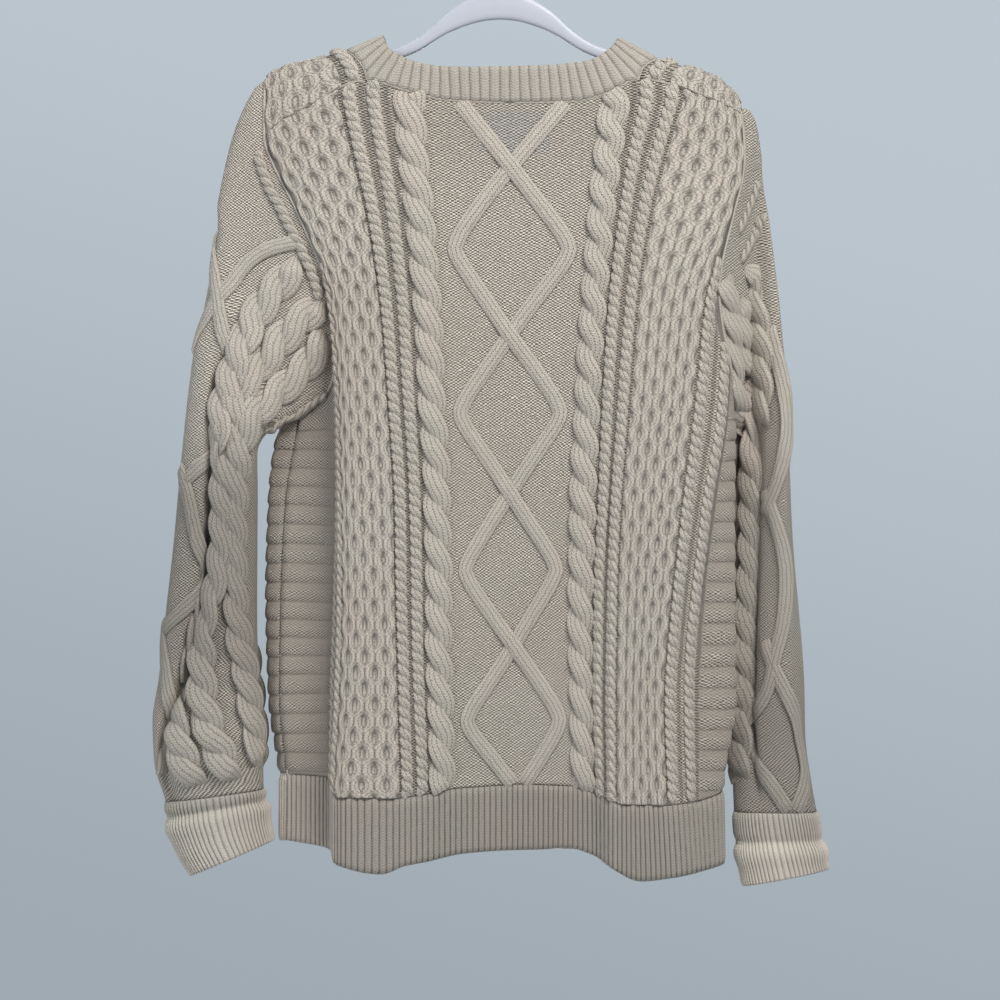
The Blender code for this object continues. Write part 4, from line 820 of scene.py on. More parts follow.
def setInputs(modifier, **values):
    for item in modifier.node_group.interface.items_tree:
        if item.in_out == "INPUT" and item.name in values:
            modifier[item.identifier] = values[item.name]


def settled(piece, name):  # the modifier's result as a plain mesh, in the object's place
    bpy.context.view_layer.update()
    result = piece.evaluated_get(bpy.context.evaluated_depsgraph_get())
    mesh = bpy.data.meshes.new_from_object(result)
    mesh.name = name
    made = linked(name, mesh)
    bpy.data.objects.remove(piece)
    return made


def tucked(path, depth=2.4, reach=5.0, taper=0.0):  # a strand whose ends sink into the cloth
    points, faces, widths = path
    at = gone(points)
    away = 1 - ease(np.clip(np.minimum(at, at[-1] - at) / reach, 0, 1))
    return points - faces * (depth * away)[:, None], faces, widths * (1 - taper * away)


def cords(name, paths, spec, material):
    paths = [tucked(path, *spec.get("tuck", ())) for path in paths]
    points = np.vstack([p for p, _, _ in paths])
    faces = np.vstack([n for _, n, _ in paths])
    widths = np.concatenate([w for _, _, w in paths])
    edges, first = [], 0
    for strand, _, _ in paths:
        edges += [(i, i + 1) for i in range(first, first + len(strand) - 1)]
        first += len(strand)
    mesh = bpy.data.meshes.new(name)
    mesh.from_pydata((points * mm).tolist(), edges, [])
    mesh.attributes.new("clothFace", "FLOAT_VECTOR", "POINT").data.foreach_set(
        "vector", (-faces).astype(np.float32).ravel())
    mesh.attributes.new("halfWidth", "FLOAT", "POINT").data.foreach_set(
        "value", (widths * mm).astype(np.float32))
    piece = linked(name + "_path", mesh)
    tree = piece.modifiers.new("knit cord", "NODES")
    tree.node_group = knitCord
    girth = spec["stitches"] * yarn["wale"] * 2
    setInputs(tree, Sides=spec["sides"], Flatness=spec["flatness"], Girth=girth, Wool=material)
    return settled(piece, name)


# cable patterns on the panels, in millimetres
cables = {
    "diamond": {"centre": 0.0, "reach": 41.0, "half": 6.6, "swell": 0.3, "flatness": 0.33, "rest": 0.4,
                "over": 1.8, "overReach": 0.1, "stitches": 4, "sides": 12, "step": 4.0, "cornerSoft": 12.0,
                "cornerPast": 1.06, "crossings": (65, 208, 351, 484.5, 613.5, 738, 862)},
    "cable": {"centre": 61.5, "reach": 4.7, "half": 7.4, "flatness": 0.31, "rest": 0.9, "rise": 2.1,
              "swell": 0.4, "lobe": 28.6, "stitches": 4, "sides": 10, "step": 2.2},
    "rope": {"centres": (78.5, 90.5, 152.7, 168.5), "reach": 2.0, "half": 3.35, "flatness": 0.54,
             "rest": 0.6, "rise": 1.15, "swell": 0.4, "lobe": 8.85, "stitches": 2, "sides": 6, "step": 1.45},
    "honey": {"from": 97.6, "to": 145.8, "strands": 6, "reach": 2.5, "half": 5.3, "thick": 2.3, "rise": 0.7,
              "cell": 26.8, "square": 1.3, "pit": 0.3, "pitHigh": 0.4, "edge": -0.3, "furrow": 1.2,
              "furrowHalf": 0.6, "rim": 3, "rimDark": 0.8, "lowDark": 0.15,
              "uneven": 3.2, "unevenAt": (0.5, 0.7), "unevenReach": 0.3, "reachAt": (0.9, 0.6),
              "perStrand": 7, "step": 1.6, "under": 0.7, "underColumns": 9},
}
# a strand sways a little on its line, swells where the cloth is pulled, and is fatter on top of a twist
strandWays = {
    "sway": 0.7, "swayAt": (1.6, 3), "pull": (0.5, 2.0), "fatter": 0.12, "measure": 3.0, "armholeGap": 1.5,
    "fewest": 4, "strapPath": 98.0, "bigPhase": 0.9, "sleevePhase": 0.4,
}


def walkLine(side, centre, step):  # levels from the hem to the top, about one step apart
    s, v = side.place(centre, np.array([0.0, 1.0]))
    levels = np.linspace(0, 1, max(2, int(abs(v[0] - v[1]) / step)))
    if side is Front and abs(centre) > form["neckStrapS"]:
        up = np.linspace(1, 2, max(2, int(strandWays["strapPath"] / step)))[1:]
        levels = np.concatenate([levels, up])
    return levels


def stretchAt(side, s, v):  # how far the cloth is pulled out sideways there
    near = strandWays["measure"]
    return np.linalg.norm(side.point(s + near, v) - side.point(s - near, v), axis=-1) / (2 * near)


def strandOn(side, centre, spec, offset, lift, wide=None, scaled=True):
    levels = walkLine(side, centre, spec["step"])
    s, v = side.place(centre, levels)
    pull = np.clip(stretchAt(side, s, v), *strandWays["pull"])
    width = pull ** spec["swell"]
    down, across = strandWays["swayAt"]
    sway = wander(v * down, centre * across, strandWays["sway"], int(abs(centre)) + 5)
    s0 = centre + offset(v) * (width / pull if scaled else 1) + sway
    s, v = side.place(s0, levels)
    drop = side.drop(s, v)
    keep = np.ones(len(s), bool)
    if abs(centre) > form["honeyEdge"]:
        keep = (np.abs(s0) < armholeS(drop) - strandWays["armholeGap"]) | (drop > form["underarm"])
        keep[np.argmax(~keep) if (~keep).any() else len(keep):] = False
    s, v, width = s[keep], v[keep], width[keep]
    if len(s) < strandWays["fewest"]:
        return []
    n = facesOf(side, s, v)
    half = spec["half"] * width * (wide(v) if wide else 1)
    return [(side.point(s, v) + n * lift(v)[:, None], n, half)]


def twist(side, centre, spec, phase=0.0):  # two strands wound round each other
    paths = []
    for turn in (0.0, math.pi):
        def angle(v):
            return math.pi * v / spec["lobe"] + turn + phase
        paths += strandOn(side, centre, spec, lambda v: -side.facing * spec["reach"] * np.cos(angle(v)),
                          lambda v: spec["rest"] + spec["rise"] * np.sin(angle(v)),
                          lambda v: 1 + strandWays["fatter"] * np.sin(angle(v)))
    return paths


def diamondPlace(side, v):  # counted in diamonds: a whole number at each crossing
    spec = cables["diamond"]
    return np.interp(side.drop(0.0, v), spec["crossings"], range(len(spec["crossings"])))


def oddEven(number):
    return np.where(number.astype(int) % 2, 1, -1)


def diamonds(side):  # two strands that cross, with rounded corners between
    spec = cables["diamond"]
    paths = []
    for way in (1, -1):
        def reachAt(v):
            place = diamondPlace(side, v)
            tri = 1 - np.abs(2 * (place % 1.0) - 1)
            soft = spec["cornerSoft"]
            bent = -np.log(np.exp(-soft * tri * spec["cornerPast"]) + np.exp(-soft)) / soft
            return way * np.maximum(bent, 0) * spec["reach"] * oddEven(np.floor(place))

        def height(v):
            place = diamondPlace(side, v)
            near = np.exp(-((place - np.round(place)) / spec["overReach"]) ** 2)
            falls = way * oddEven(np.round(place)) * side.facing
            return spec["rest"] + spec["over"] * near * (falls > 0)

        paths += strandOn(side, 0.0, spec, reachAt, height, scaled=False)
    return paths


def honeyGrid(side, sign, seed):  # a raised field of strands that lean on one neighbour, then on the other
    spec = cables["honey"]
    pitch = (spec["to"] - spec["from"]) / spec["strands"]
    fine = pitch / spec["perStrand"]
    s0 = spec["from"] + fine * np.arange(-1, spec["strands"] * spec["perStrand"] + 2)
    levels = walkLine(side, sign * (spec["from"] + spec["to"]) / 2, spec["step"])
    s, v = side.place(sign * s0[None, :], levels[:, None])
    early = wander(s * spec["unevenAt"][0], v * spec["unevenAt"][1], spec["uneven"], seed + 60)
    wave = np.tanh(spec["square"] * np.sin(2 * math.pi * (v + early) / spec["cell"]))
    wave = wave / math.tanh(spec["square"])
    uneven = wander(s * spec["reachAt"][0], v * spec["reachAt"][1], spec["unevenReach"], seed + 61)
    reach = spec["reach"] * (1 + uneven)
    height, across = np.zeros(s.shape), np.zeros(s.shape)
    for k in range(spec["strands"]):
        lean = wave if k % 2 else -wave
        off = s0[None, :] - (spec["from"] + pitch * (k + 0.5)) - reach * lean
        crown = np.maximum(1 - (off / spec["half"]) ** 2, 0) * (spec["thick"] + spec["rise"] * lean**2)
        across = np.where(crown > height, off - (pitch / 2 - reach) * lean, across)
        height = np.maximum(height, crown)
    across = np.where(height < spec["pitHigh"], s0[None, :], across)
    # painted shade for the wool: low in the cells, most just under their upper rim, where light from above is
    # blocked
    above = np.concatenate([height[spec["rim"]:], height[-spec["rim"]:]])
    hollow = (np.clip(1 - height / spec["thick"], 0, 1) * spec["lowDark"]
              + np.clip((above - height) / spec["thick"], 0, 1) * spec["rimDark"])
    for k in range(1, spec["strands"]):  # a furrow where two strands lie together, with painted shade along it
        meet = np.exp(-((s0[None, :] - spec["from"] - pitch * k) / spec["furrowHalf"]) ** 2)
        meet = meet * np.clip(-wave if k % 2 else wave, 0, 1)
        height = height - spec["furrow"] * meet
        hollow = np.maximum(hollow, meet)
    hollow = np.clip(hollow, 0, 1)
    height = height + spec["pit"] + wander(s, side.drop(s, v), panel["unevenness"], seed)
    height[:, [0, -1]] = spec["edge"]
    n, base = facesOf(side, s, v), side.point(s, v)
    return base + n * height[..., None], base - n * spec["under"], np.stack([across, v], -1) * mm, hollow


def honeycomb(name, side, seed):  # both fields of one panel, each closed with a coarse back
    points, uvs, faces, hollows = [], [], [], []
    first = 0
    for sign in (-1, 1):
        top, under, uv, hollow = honeyGrid(side, sign, seed)
        rows, cols = top.shape[:2]
        chosen = np.append(np.arange(0, cols - 1, cables["honey"]["underColumns"]), cols - 1)
        a = first + np.arange(rows * cols).reshape(rows, cols)
        b = a[-1, -1] + 1 + np.arange(rows * len(chosen)).reshape(rows, len(chosen))
        for grid in (a, b[:, ::-1]):
            faces += fourCorners(grid).reshape(-1, 4).tolist()
        faces += np.stack([b[:-1, 0], a[:-1, 0], a[1:, 0], b[1:, 0]], -1).tolist()
        faces += np.stack([a[:-1, -1], b[:-1, -1], b[1:, -1], a[1:, -1]], -1).tolist()
        faces += [[*a[0, ::-1], *b[0]], [*a[-1], *b[-1, ::-1]]]
        points += [top.reshape(-1, 3), under[:, chosen].reshape(-1, 3)]
        uvs += [uv.reshape(-1, 2), uv[:, chosen].reshape(-1, 2)]
        hollows += [hollow.ravel(), hollow[:, chosen].ravel()]
        first = b[-1, -1] + 1
    corners = np.concatenate([np.asarray(face) for face in faces])
    piece = meshObject(name, np.vstack(points), faces, np.vstack(uvs)[corners], finishes["honeycomb wool"])
    # the painted shade of the cells, which the honeycomb wool reads
    depths = piece.data.attributes.new("hollow", "FLOAT", "POINT")
    depths.data.foreach_set("value", np.concatenate(hollows).astype(np.float32))
    return piece


def panelCables(prefix, side):
    big, rope, strand = cables["cable"], cables["rope"], finishes["cable knit wool"]
    bigPaths = [path for sign in (-1, 1)
                for path in twist(side, sign * big["centre"], big, strandWays["bigPhase"] * sign)]
    ropePaths = [path for sign in (-1, 1) for centre in rope["centres"]
                 for path in twist(side, sign * centre, rope, centre)]
    made = [cords(prefix + "_diamonds", diamonds(side), cables["diamond"], strand),
            cords(prefix + "_cables", bigPaths, big, strand),
            cords(prefix + "_ropes", ropePaths, rope, strand),
            honeycomb(prefix + "_honeycomb", side, panel["seeds"][prefix])]
    print(prefix, "cables wound:", sum(len(p.data.polygons) for p in made), "faces")
    return made


# knitted panels
panel = {
    "rowStep": 2.15, "rowPath": 600, "strapRows": 34, "unevenness": 0.55, "seamFlat": 0.012,
    "seeds": {"back": 3, "front": 8},
    "columns": (*range(0, 51, 6), 51, 56, 62, 68, 72, 78.5, 84, 90.5, 97, 103, 109, 115, 121, 127, 133, 139,
                144, 147, 150, 153, 157, 160, 164, 168.5, 173, 176, 178, 181, 185, 190, 196, 202, 208, 214,
                220, 226),
}


def weltDrop(s0, t, seed):  # the drop as the welts count it: their pitch and wander are in it
    pitch = np.where(s0 < 0, welts["leftPitch"], welts["rightPitch"])
    across, down = welts["swerveAt"]
    swerve = wander(s0 * across, t * down, welts["swerve"], seed + 40)
    even = welts["hemDrop"] + (t - welts["hemDrop"]) * welts["pitch"] / pitch + swerve
    share = np.clip((np.abs(s0) - welts["pitchFrom"]) / welts["pitchReach"], 0, 1)
    return t * (1 - share) + even * share


def weltLift(s0, t, even):  # ridges across the sides, rounded crests with narrow furrows
    part = ((even - welts["hemDrop"]) / welts["pitch"]) % 1.0
    slopes = np.clip(part * welts["steepUp"], 0, 1) * np.clip((1 - part) * welts["steepDown"], 0, 1)
    lean = welts["lowSide"] + (1 - welts["lowSide"]) * np.clip(part * welts["lowReach"], 0, 1)
    across = np.clip((np.abs(s0) - welts["from"]) / welts["rise"], 0, 1)
    below = np.clip((t - form["underarm"] + welts["below"]) / welts["belowReach"], 0, 1)
    return welts["height"] * np.sqrt(slopes) * lean * across * below


def panelSheet(name, side, seed):
    half = np.array(panel["columns"], float)
    s0 = np.concatenate([-half[:0:-1], half])
    rows = int(panel["rowPath"] / panel["rowStep"])
    levels = np.linspace(0, 1, rows)
    keep = None
    if side is Front:
        up = np.linspace(1, 2, panel["strapRows"])[1:]
        levels = np.concatenate([levels, up])
        inside = np.abs(s0) <= form["neckStrapS"] + touch
        closed = inside[:-1] & inside[1:]
        keep = ~((np.arange(len(levels) - 1) >= rows - 1)[:, None] & closed[None, :])
    s, v = side.place(s0[None, :], levels[:, None])
    t = side.drop(s, v)
    n = facesOf(side, s, v)
    base = side.point(s, v)
    even = weltDrop(s0[None, :], t, seed)
    lift = weltLift(s0[None, :], t, even) + wander(s, t, panel["unevenness"], seed)
    edge = np.minimum(np.abs(levels), np.abs(side.top - levels))[:, None]
    lift = lift * np.clip(edge / panel["seamFlat"], 0.0, 1)
    outer = base + n * lift[..., None]
    inner = base - n * form["wall"]
    uv = np.stack([np.broadcast_to(s0[None, :], t.shape), even], -1) * mm
    return sheetShell(name, outer, inner, uv, finishes["reverse knit wool"], keep)


backSheet = panelSheet("back_cloth", Back, panel["seeds"]["back"])
frontSheet = panelSheet("front_cloth", Front, panel["seeds"]["front"])
print("panels knitted:", len(backSheet.data.polygons) + len(frontSheet.data.polygons), "faces")
backCables = panelCables("back", Back)
frontCables = panelCables("front", Front)


# ribs
rib = {
    "wall": 3.0, "height": 2.0, "crown": 0.82, "roundness": 2.4, "samples": 7,
    "hemPitch": 4.6, "hemRows": 12, "hemTuck": 0.6, "hemUneven": 0.5,
    "neckRibs": 74, "neckRows": 9, "neckGap": 0.5, "neckRim": 0.45, "neckSteep": 8, "neckStations": 601,
    "cuffRibs": 64, "cuffRows": 26, "cuffLong": 0.064, "cuffUneven": 0.4, "cuffUnevenAt": (20, 30),
}
# ribs start low at both edges of a band: the share of their height there, and how fast they grow
ribEnds = {"hem": ((0.6, 9), (0.25, 8)), "cuff": ((0.3, 8), (0.6, 9))}


def ribLift(phase):  # rounded crown, narrow furrow
    off = np.abs((phase % 1.0) * 2 - 1) / rib["crown"]
    return rib["height"] * np.sqrt(np.maximum(1 - off ** rib["roundness"], 0))


def ribGrowth(kind, share):
    (first, grow), (last, fade) = ribEnds[kind]
    return np.minimum(np.clip(first + share * grow, 0, 1), np.clip(last + (1 - share) * fade, 0, 1))


def hemRib(name, side, bottom, seed):
    ribs = round(2 * form["seamEdge"] / rib["hemPitch"])
    edge = form["seamEdge"] - form["seamGap"]
    s0 = np.linspace(-edge, edge, ribs * rib["samples"] + 1)
    phase = np.arange(len(s0)) / rib["samples"]
    hem = backHem if side is Back else frontHem
    top = np.interp(s0, *hem) + form["seamGap"] - rib["hemTuck"]
    low = smoothCurve(*bottom, s0)
    share = np.linspace(0, 1, rib["hemRows"])
    t = low[None, :] + (top - low)[None, :] * share[:, None]
    s = np.broadcast_to(s0[None, :], t.shape)
    v = t if side is Back else frontPath(s, t)
    n = facesOf(side, s, v)
    base = side.point(s, v)
    ends = ribGrowth("hem", share)
    lift = ribLift(phase)[None, :] * ends[:, None] + wander(s, t, rib["hemUneven"], seed)
    uv = np.stack([np.broadcast_to(phase[None, :] * yarn["wale"], t.shape), t * mm], -1)
    return sheetShell(name, base + n * lift[..., None], base - n * rib["wall"], uv, finishes["hem wool"])


backHemRib = hemRib("back_hem_ribbing", Back, backBottom, 5)
frontHemRib = hemRib("front_hem_ribbing", Front, frontBottom, 6)
print("hems ribbed")

bandEdge = {     # the neckband's free edge: x, y and drop, round from the middle of the back
    "back middle": (8, -17, 122), "back left": (-58, -15, 121), "left back corner": (-92, -9, 108),
    "left top": (-99, 2, 94), "left front": (-91, 15, 112), "front left": (-62, 24, 160),
    "front middle": (8, 29, 196), "front right": (78, 24, 160), "right front": (100, 15, 113),
    "right top": (101, 2, 96), "right back corner": (93, -9, 106), "back right": (70, -15, 118),
}


def along(line, shares):
    length = gone(line)
    reach = np.asarray(shares) * length[-1]
    return np.stack([np.interp(reach, length, line[:, k]) for k in range(3)], axis=-1)


# points in each stretch of the neck's seam, and where its middle stretches end
seamPoints = {"back": 14, "strap": 12, "front": 30, "backTurn": 50, "frontTurn": 62.0}


def neckSeam():  # the opening's seam in twelve stretches, one between each two stations of the band
    def back(a, b):
        s0 = np.linspace(a, b, seamPoints["back"])
        return backPoint(s0, backTopDrop(s0))

    def strap(sign, a, b):
        return frontPoint(*Front.place(sign * form["neckStrapS"], np.linspace(a, b, seamPoints["strap"])))

    def front(a, b):
        return frontPoint(*Front.place(np.linspace(a, b, seamPoints["front"]), 1.0))

    near, turn, edge = seamPoints["backTurn"], seamPoints["frontTurn"], form["neckStrapS"]
    return (back(0, -near), back(-near, -form["cornerLeft"]), strap(-1, 2, 1.5), strap(-1, 1.5, 1),
            front(-edge, -turn), front(-turn, 0), front(0, turn), front(turn, edge),
            strap(1, 1, 1.5), strap(1, 1.5, 2), back(form["cornerRight"], near), back(near, 0))


def roundCurve(knots, at):  # a smooth closed curve through the knots
    i = np.floor(at).astype(int)
    f = (at - i)[:, None]
    a, b, c, d = (knots[(i + k) % len(knots)] for k in (-1, 0, 1, 2))
    return 0.5 * (2 * b + (c - a) * f + (2 * a - 5 * b + 4 * c - d) * f**2 + (3 * b - a - 3 * c + d) * f**3)


def neckBand():
    stretches = neckSeam()
    free = np.array([(x, y, -t) for x, y, t in bandEdge.values()], float)

    def seamAt(at):
        return np.array([along(stretches[int(a) % len(stretches)], [a % 1.0])[0] for a in at])

    at = np.linspace(0, len(stretches), rib["neckStations"])
    length = gone((seamAt(at) + roundCurve(free, at)) / 2)
    count = rib["neckRibs"] * rib["samples"]
    at = np.interp(np.arange(count) * length[-1] / count, length, at)
    seam, edge = seamAt(at), roundCurve(free, at)
    reach = edge - seam
    start = seam + reach * (rib["neckGap"] / np.linalg.norm(reach, axis=1))[:, None]
    share = np.linspace(0, 1, rib["neckRows"])[:, None, None]
    flat = start[None] * (1 - share) + edge[None] * share
    roundWay = np.roll(flat, -1, axis=1) - np.roll(flat, 1, axis=1)
    out = np.cross(reach[None], roundWay)
    out /= np.linalg.norm(out, axis=-1, keepdims=True)
    phase = np.arange(count) / rib["samples"]
    ends = np.clip(1.0 - (np.abs(share[:, 0] - 0.5) * 2) ** rib["neckSteep"] * rib["neckRim"], 0, 1)
    lift = ribLift(phase)[None, :] * ends
    uvPhase = np.arange(count + 1) / rib["samples"] * yarn["wale"]
    reachAt = np.append(np.linalg.norm(reach, axis=1), np.linalg.norm(reach[0]))
    uv = np.stack([np.broadcast_to(uvPhase[None, :], (rib["neckRows"], count + 1)),
                   share[:, :, 0] * reachAt[None, :] * mm], -1)
    outer, inner = flat + out * lift[..., None], flat - out * rib["wall"]
    return sheetShell("neck_ribbing", outer, inner, uv, finishes["neckband wool"], wrap=True)


neckRibbing = neckBand()
print("neckband ribbed")

# sleeves
leftSleeveRows = (
    # outer x, y, t; inner x, y, t; back, front, crease
    (-221, 0, 172, -171, 4, 422, 20, 20, 0), (-234, 2, 218, -184, -8, 421, 18, 18, 0),
    (-240, 2, 261, -190, -11, 427, 22, 16, 2), (-246, 2, 295, -197, -12, 433, 25, 15, 6),
    (-252, 2, 329, -203, -10, 440, 27, 16, 9), (-260, 2, 363, -207, -8, 449, 28, 20, 11),
    (-266, 3, 405, -208, -4, 465, 29, 25, 12), (-272, 4, 455, -208, 2, 490, 29, 29, 12),
    (-279, 4, 529, -208, 4, 541, 29, 30, 13), (-285, 4, 584, -208, 4, 588, 30, 31, 13),
    (-291, 4, 640, -207, 4, 640, 31, 32, 13), (-297, 4, 680, -205, 4, 680, 33, 34, 12),
    (-296, 4, 712, -203, 4, 708, 32, 33, 9), (-286, 4, 748, -202, 4, 737, 24, 25, 3),
)
rightSleeveRows = (
    (212, 0, 168, 198, 20, 422, 12, 12, 0), (217, 14, 186, 211, 33, 427, 13, 20, 0),
    (224, 14, 214, 209, 43, 438, 12, 24, 1), (230, 12, 245, 206, 50, 451, 12, 26, 3),
    (234, 10, 278, 203, 54, 470, 12, 27, 5), (241, 8, 340, 200, 56, 500, 12, 28, 7),
    (246, 6, 405, 198, 56, 530, 12, 30, 8), (247, 6, 470, 196, 56, 560, 12, 31, 9),
    (248, 6, 530, 196, 56, 590, 12, 31, 9), (250, 6, 590, 196, 55, 620, 12, 31, 9),
    (253, 6, 640, 197, 52, 652, 13, 31, 9), (256, 6, 690, 199, 44, 688, 15, 29, 8),
    (264, 6, 728, 202, 32, 722, 18, 25, 5), (271, 6, 757, 202, 22, 758, 19, 21, 1),
)
leftCuffRows = (
    (-286, 4, 748.4, -202, 4, 737.4, 24, 25), (-283, 4, 768, -200, 4, 752, 21, 22),
    (-276, 4, 790, -197, 4, 768, 22, 23), (-264, 4, 811, -194, 4, 781, 22, 23),
)
rightCuffRows = (
    (271, 6, 757.4, 202, 22, 758.4, 19, 21), (274, 6, 776, 203, 20, 778, 18, 19),
    (278, 6, 795, 206, 16, 800, 19, 20), (281, 6, 806, 209, 14, 821, 19, 20),
)
sleeve = {
    "capFull": 8.0, "capFrom": 0.85, "capReach": 0.85, "capRise": 0.25, "capDrop": 0.35,
    "square": 0.85, "blunt": 0.65, "crowding": 0.22,
    "creaseWidth": 0.11, "creaseDeep": 1.45, "creaseBehind": 0.6,
    "armholeRows": 1.5, "columns": 84, "rows": 150, "unevenness": 0.9, "unevenAt": (34, 46),
    "measure": (0.03, 0.05),          # the angle and the row over which a slope is taken
    "armholePoints": (10, 40, 50),    # over the shoulder, down the back, and up the front
    # where the main crease runs: row, chord from the outer edge -1 to the inner edge 1
    "leftCrease": ((0, 3, 5, 8, 10.2, 11.3, 13), (-0.05, -0.12, -0.18, -0.10, -0.45, -0.70, -0.80)),
    "rightCrease": ((0, 3, 6, 9, 11, 13), (0.1, 0.0, -0.04, 0.02, 0.20, 0.30)),
}


def armholeLoop(sign, shares):
    over, behind, before = sleeve["armholePoints"]
    q = np.linspace(0, float(seamPath(sign * form["shoulderS"])), over)
    top = float(backTopDrop(sign * form["shoulderS"]))
    t = np.linspace(top, form["underarm"], behind)[1:]
    down = np.vstack([frontPoint(sign * form["shoulderS"], q), backPoint(sign * armholeS(t), t)])
    front = np.linspace(0, float(frontPath(sign * form["seamEdge"], form["underarm"])), before)
    up = frontPoint(sign * armholeS(frontDrop(sign * form["shoulderS"], front)), front)
    shares = np.asarray(shares)
    first = along(down, np.clip(shares, 0, 1))
    second = along(up[::-1], np.clip(shares - 1, 0, 1))
    return np.where((shares <= 1)[..., None], first, second)


class Tube:  # rings of a folded tube: angle 0 at its outer edge, a half turn at its inner edge
    def __init__(self, sign, rows, crease=None):
        self.sign = sign
        self.rows = np.array(rows, float)
        self.crease = crease

    def point(self, angle, j):
        angle, j = np.broadcast_arrays(np.asarray(angle, float), np.asarray(j, float))
        j = np.clip(j, 0, len(self.rows) - 1)
        values = [smoothCurve(range(len(self.rows)), self.rows[:, k], j) for k in range(self.rows.shape[1])]
        outer = np.stack([values[0], values[1], -values[2]], axis=-1)
        inner = np.stack([values[3], values[4], -values[5]], axis=-1)
        middle, half = (outer + inner) / 2, (inner - outer) / 2
        way = unit(half)
        depth = unit(np.array([0.0, 1.0, 0.0]) - way * way[..., 1:2])
        sine, cosine = np.sin(angle), np.cos(angle)
        chord = -np.sign(cosine) * np.abs(cosine) ** sleeve["square"]
        behind = np.abs(sine) ** sleeve["blunt"] * np.where(sine > 0, -values[6], values[7])
        if self.crease:
            at = smoothCurve(*self.crease, j)
            furrow = sleeve["creaseDeep"] * values[8] * np.exp(-(((chord - at) / sleeve["creaseWidth"]) ** 2))
            behind = behind + np.where(sine > 0, furrow, -sleeve["creaseBehind"] * furrow)
        tube = middle + half * chord[..., None] + depth * behind[..., None]
        if not self.crease:
            return tube
        loop = armholeLoop(self.sign, (angle / math.pi) % 2)
        leave = np.clip(j / sleeve["armholeRows"], 0, 1)[..., None]
        made = loop * (1 - leave) + tube * leave
        full = np.exp(-(((j - sleeve["capFrom"]) / sleeve["capReach"]) ** 2))
        full = full * np.clip(j / sleeve["capRise"], 0, 1) * np.maximum(cosine, 0) ** 2 * sleeve["capFull"]
        made[..., 0] += self.sign * full
        made[..., 2] += full * sleeve["capDrop"]
        return made

    def out(self, angle, j):
        h, k = sleeve["measure"]
        around = self.point(angle + h, j) - self.point(angle - h, j)
        later, earlier = np.minimum(j + k, len(self.rows) - 1), np.maximum(j - k, 0)
        down = self.point(angle, later) - self.point(angle, earlier)
        return unit(-self.sign * np.cross(down, around))


leftTube = Tube(-1, leftSleeveRows, sleeve["leftCrease"])
rightTube = Tube(1, rightSleeveRows, sleeve["rightCrease"])


def sleeveSheet(name, tube, seed, wool):
    even = np.linspace(0, 2 * math.pi, sleeve["columns"], endpoint=False)
    angles = even - sleeve["crowding"] * np.sin(2 * even)
    places = np.linspace(0, len(tube.rows) - 1, sleeve["rows"])
    angle, j = np.meshgrid(angles, places)
    base, n = tube.point(angle, j), tube.out(angle, j)
    across, down = sleeve["unevenAt"]
    lift = wander(angle * across, j * down, sleeve["unevenness"], seed)
    closed = np.concatenate([base, base[:, :1]], axis=1)
    level = np.linalg.norm(np.diff(closed[..., :2], axis=1), axis=-1)
    around = np.concatenate([np.zeros((len(places), 1)), np.cumsum(level, axis=1)], axis=1)
    first = int(np.searchsorted(places, sleeve["armholeRows"]))
    around[:first] = around[first] - tube.sign * (closed[:first, :, 0] - closed[first, :, 0])
    uv = np.stack([around, -closed[..., 2]], -1) * mm
    return sheetShell(name, base + n * lift[..., None], base - n * form["wall"], uv, wool, wrap=True)


buckle = {"ridge": 2.4, "ridgeAt": 0.16, "ridgeReach": 0.14, "crease": 2.2, "creaseReach": 0.07,
          "swerve": 0.04, "swerveAt": 14}


def cuffSheet(name, tube, seed, crease, wool):  # ribs that buckle along one crease
    count = rib["cuffRibs"] * rib["samples"]
    angles = np.linspace(0, 2 * math.pi, count, endpoint=False)
    places = np.linspace(0, len(tube.rows) - 1, rib["cuffRows"])
    angle, j = np.meshgrid(angles, places)
    base, n = tube.point(angle, j), tube.out(angle, j)
    phase = np.arange(count) / rib["samples"]
    share = places[:, None] / places[-1]
    past = share - crease - wander(angle * buckle["swerveAt"], j * 0, buckle["swerve"], seed)
    bent = (buckle["ridge"] * np.exp(-((past - buckle["ridgeAt"]) / buckle["ridgeReach"]) ** 2)
            - buckle["crease"] * np.exp(-(past / buckle["creaseReach"]) ** 2))
    across, down = rib["cuffUnevenAt"]
    uneven = wander(angle * across, j * down, rib["cuffUneven"], seed)
    lift = ribLift(phase)[None, :] * ribGrowth("cuff", share) + uneven + bent
    uvPhase = np.arange(count + 1) / rib["samples"] * yarn["wale"]
    uv = np.stack(np.broadcast_arrays(uvPhase[None, :], share * rib["cuffLong"]), -1)
    return sheetShell(name, base + n * lift[..., None], base - n * rib["wall"], uv, wool, wrap=True)


cuffCrease = {"left": 0.22, "right": 0.42}     # how far down each cuff it buckles
leftSleeveCloth = sleeveSheet("left_sleeve_cloth", leftTube, 11, finishes["left sleeve wool"])
rightSleeveCloth = sleeveSheet("right_sleeve_cloth", rightTube, 12, finishes["right sleeve wool"])
leftCuffRib = cuffSheet("left_cuff_ribbing", Tube(-1, leftCuffRows), 21, cuffCrease["left"],
                        finishes["left cuff wool"])
rightCuffRib = cuffSheet("right_cuff_ribbing", Tube(1, rightCuffRows), 22, cuffCrease["right"],
                         finishes["right cuff wool"])
print("sleeves and cuffs knitted")

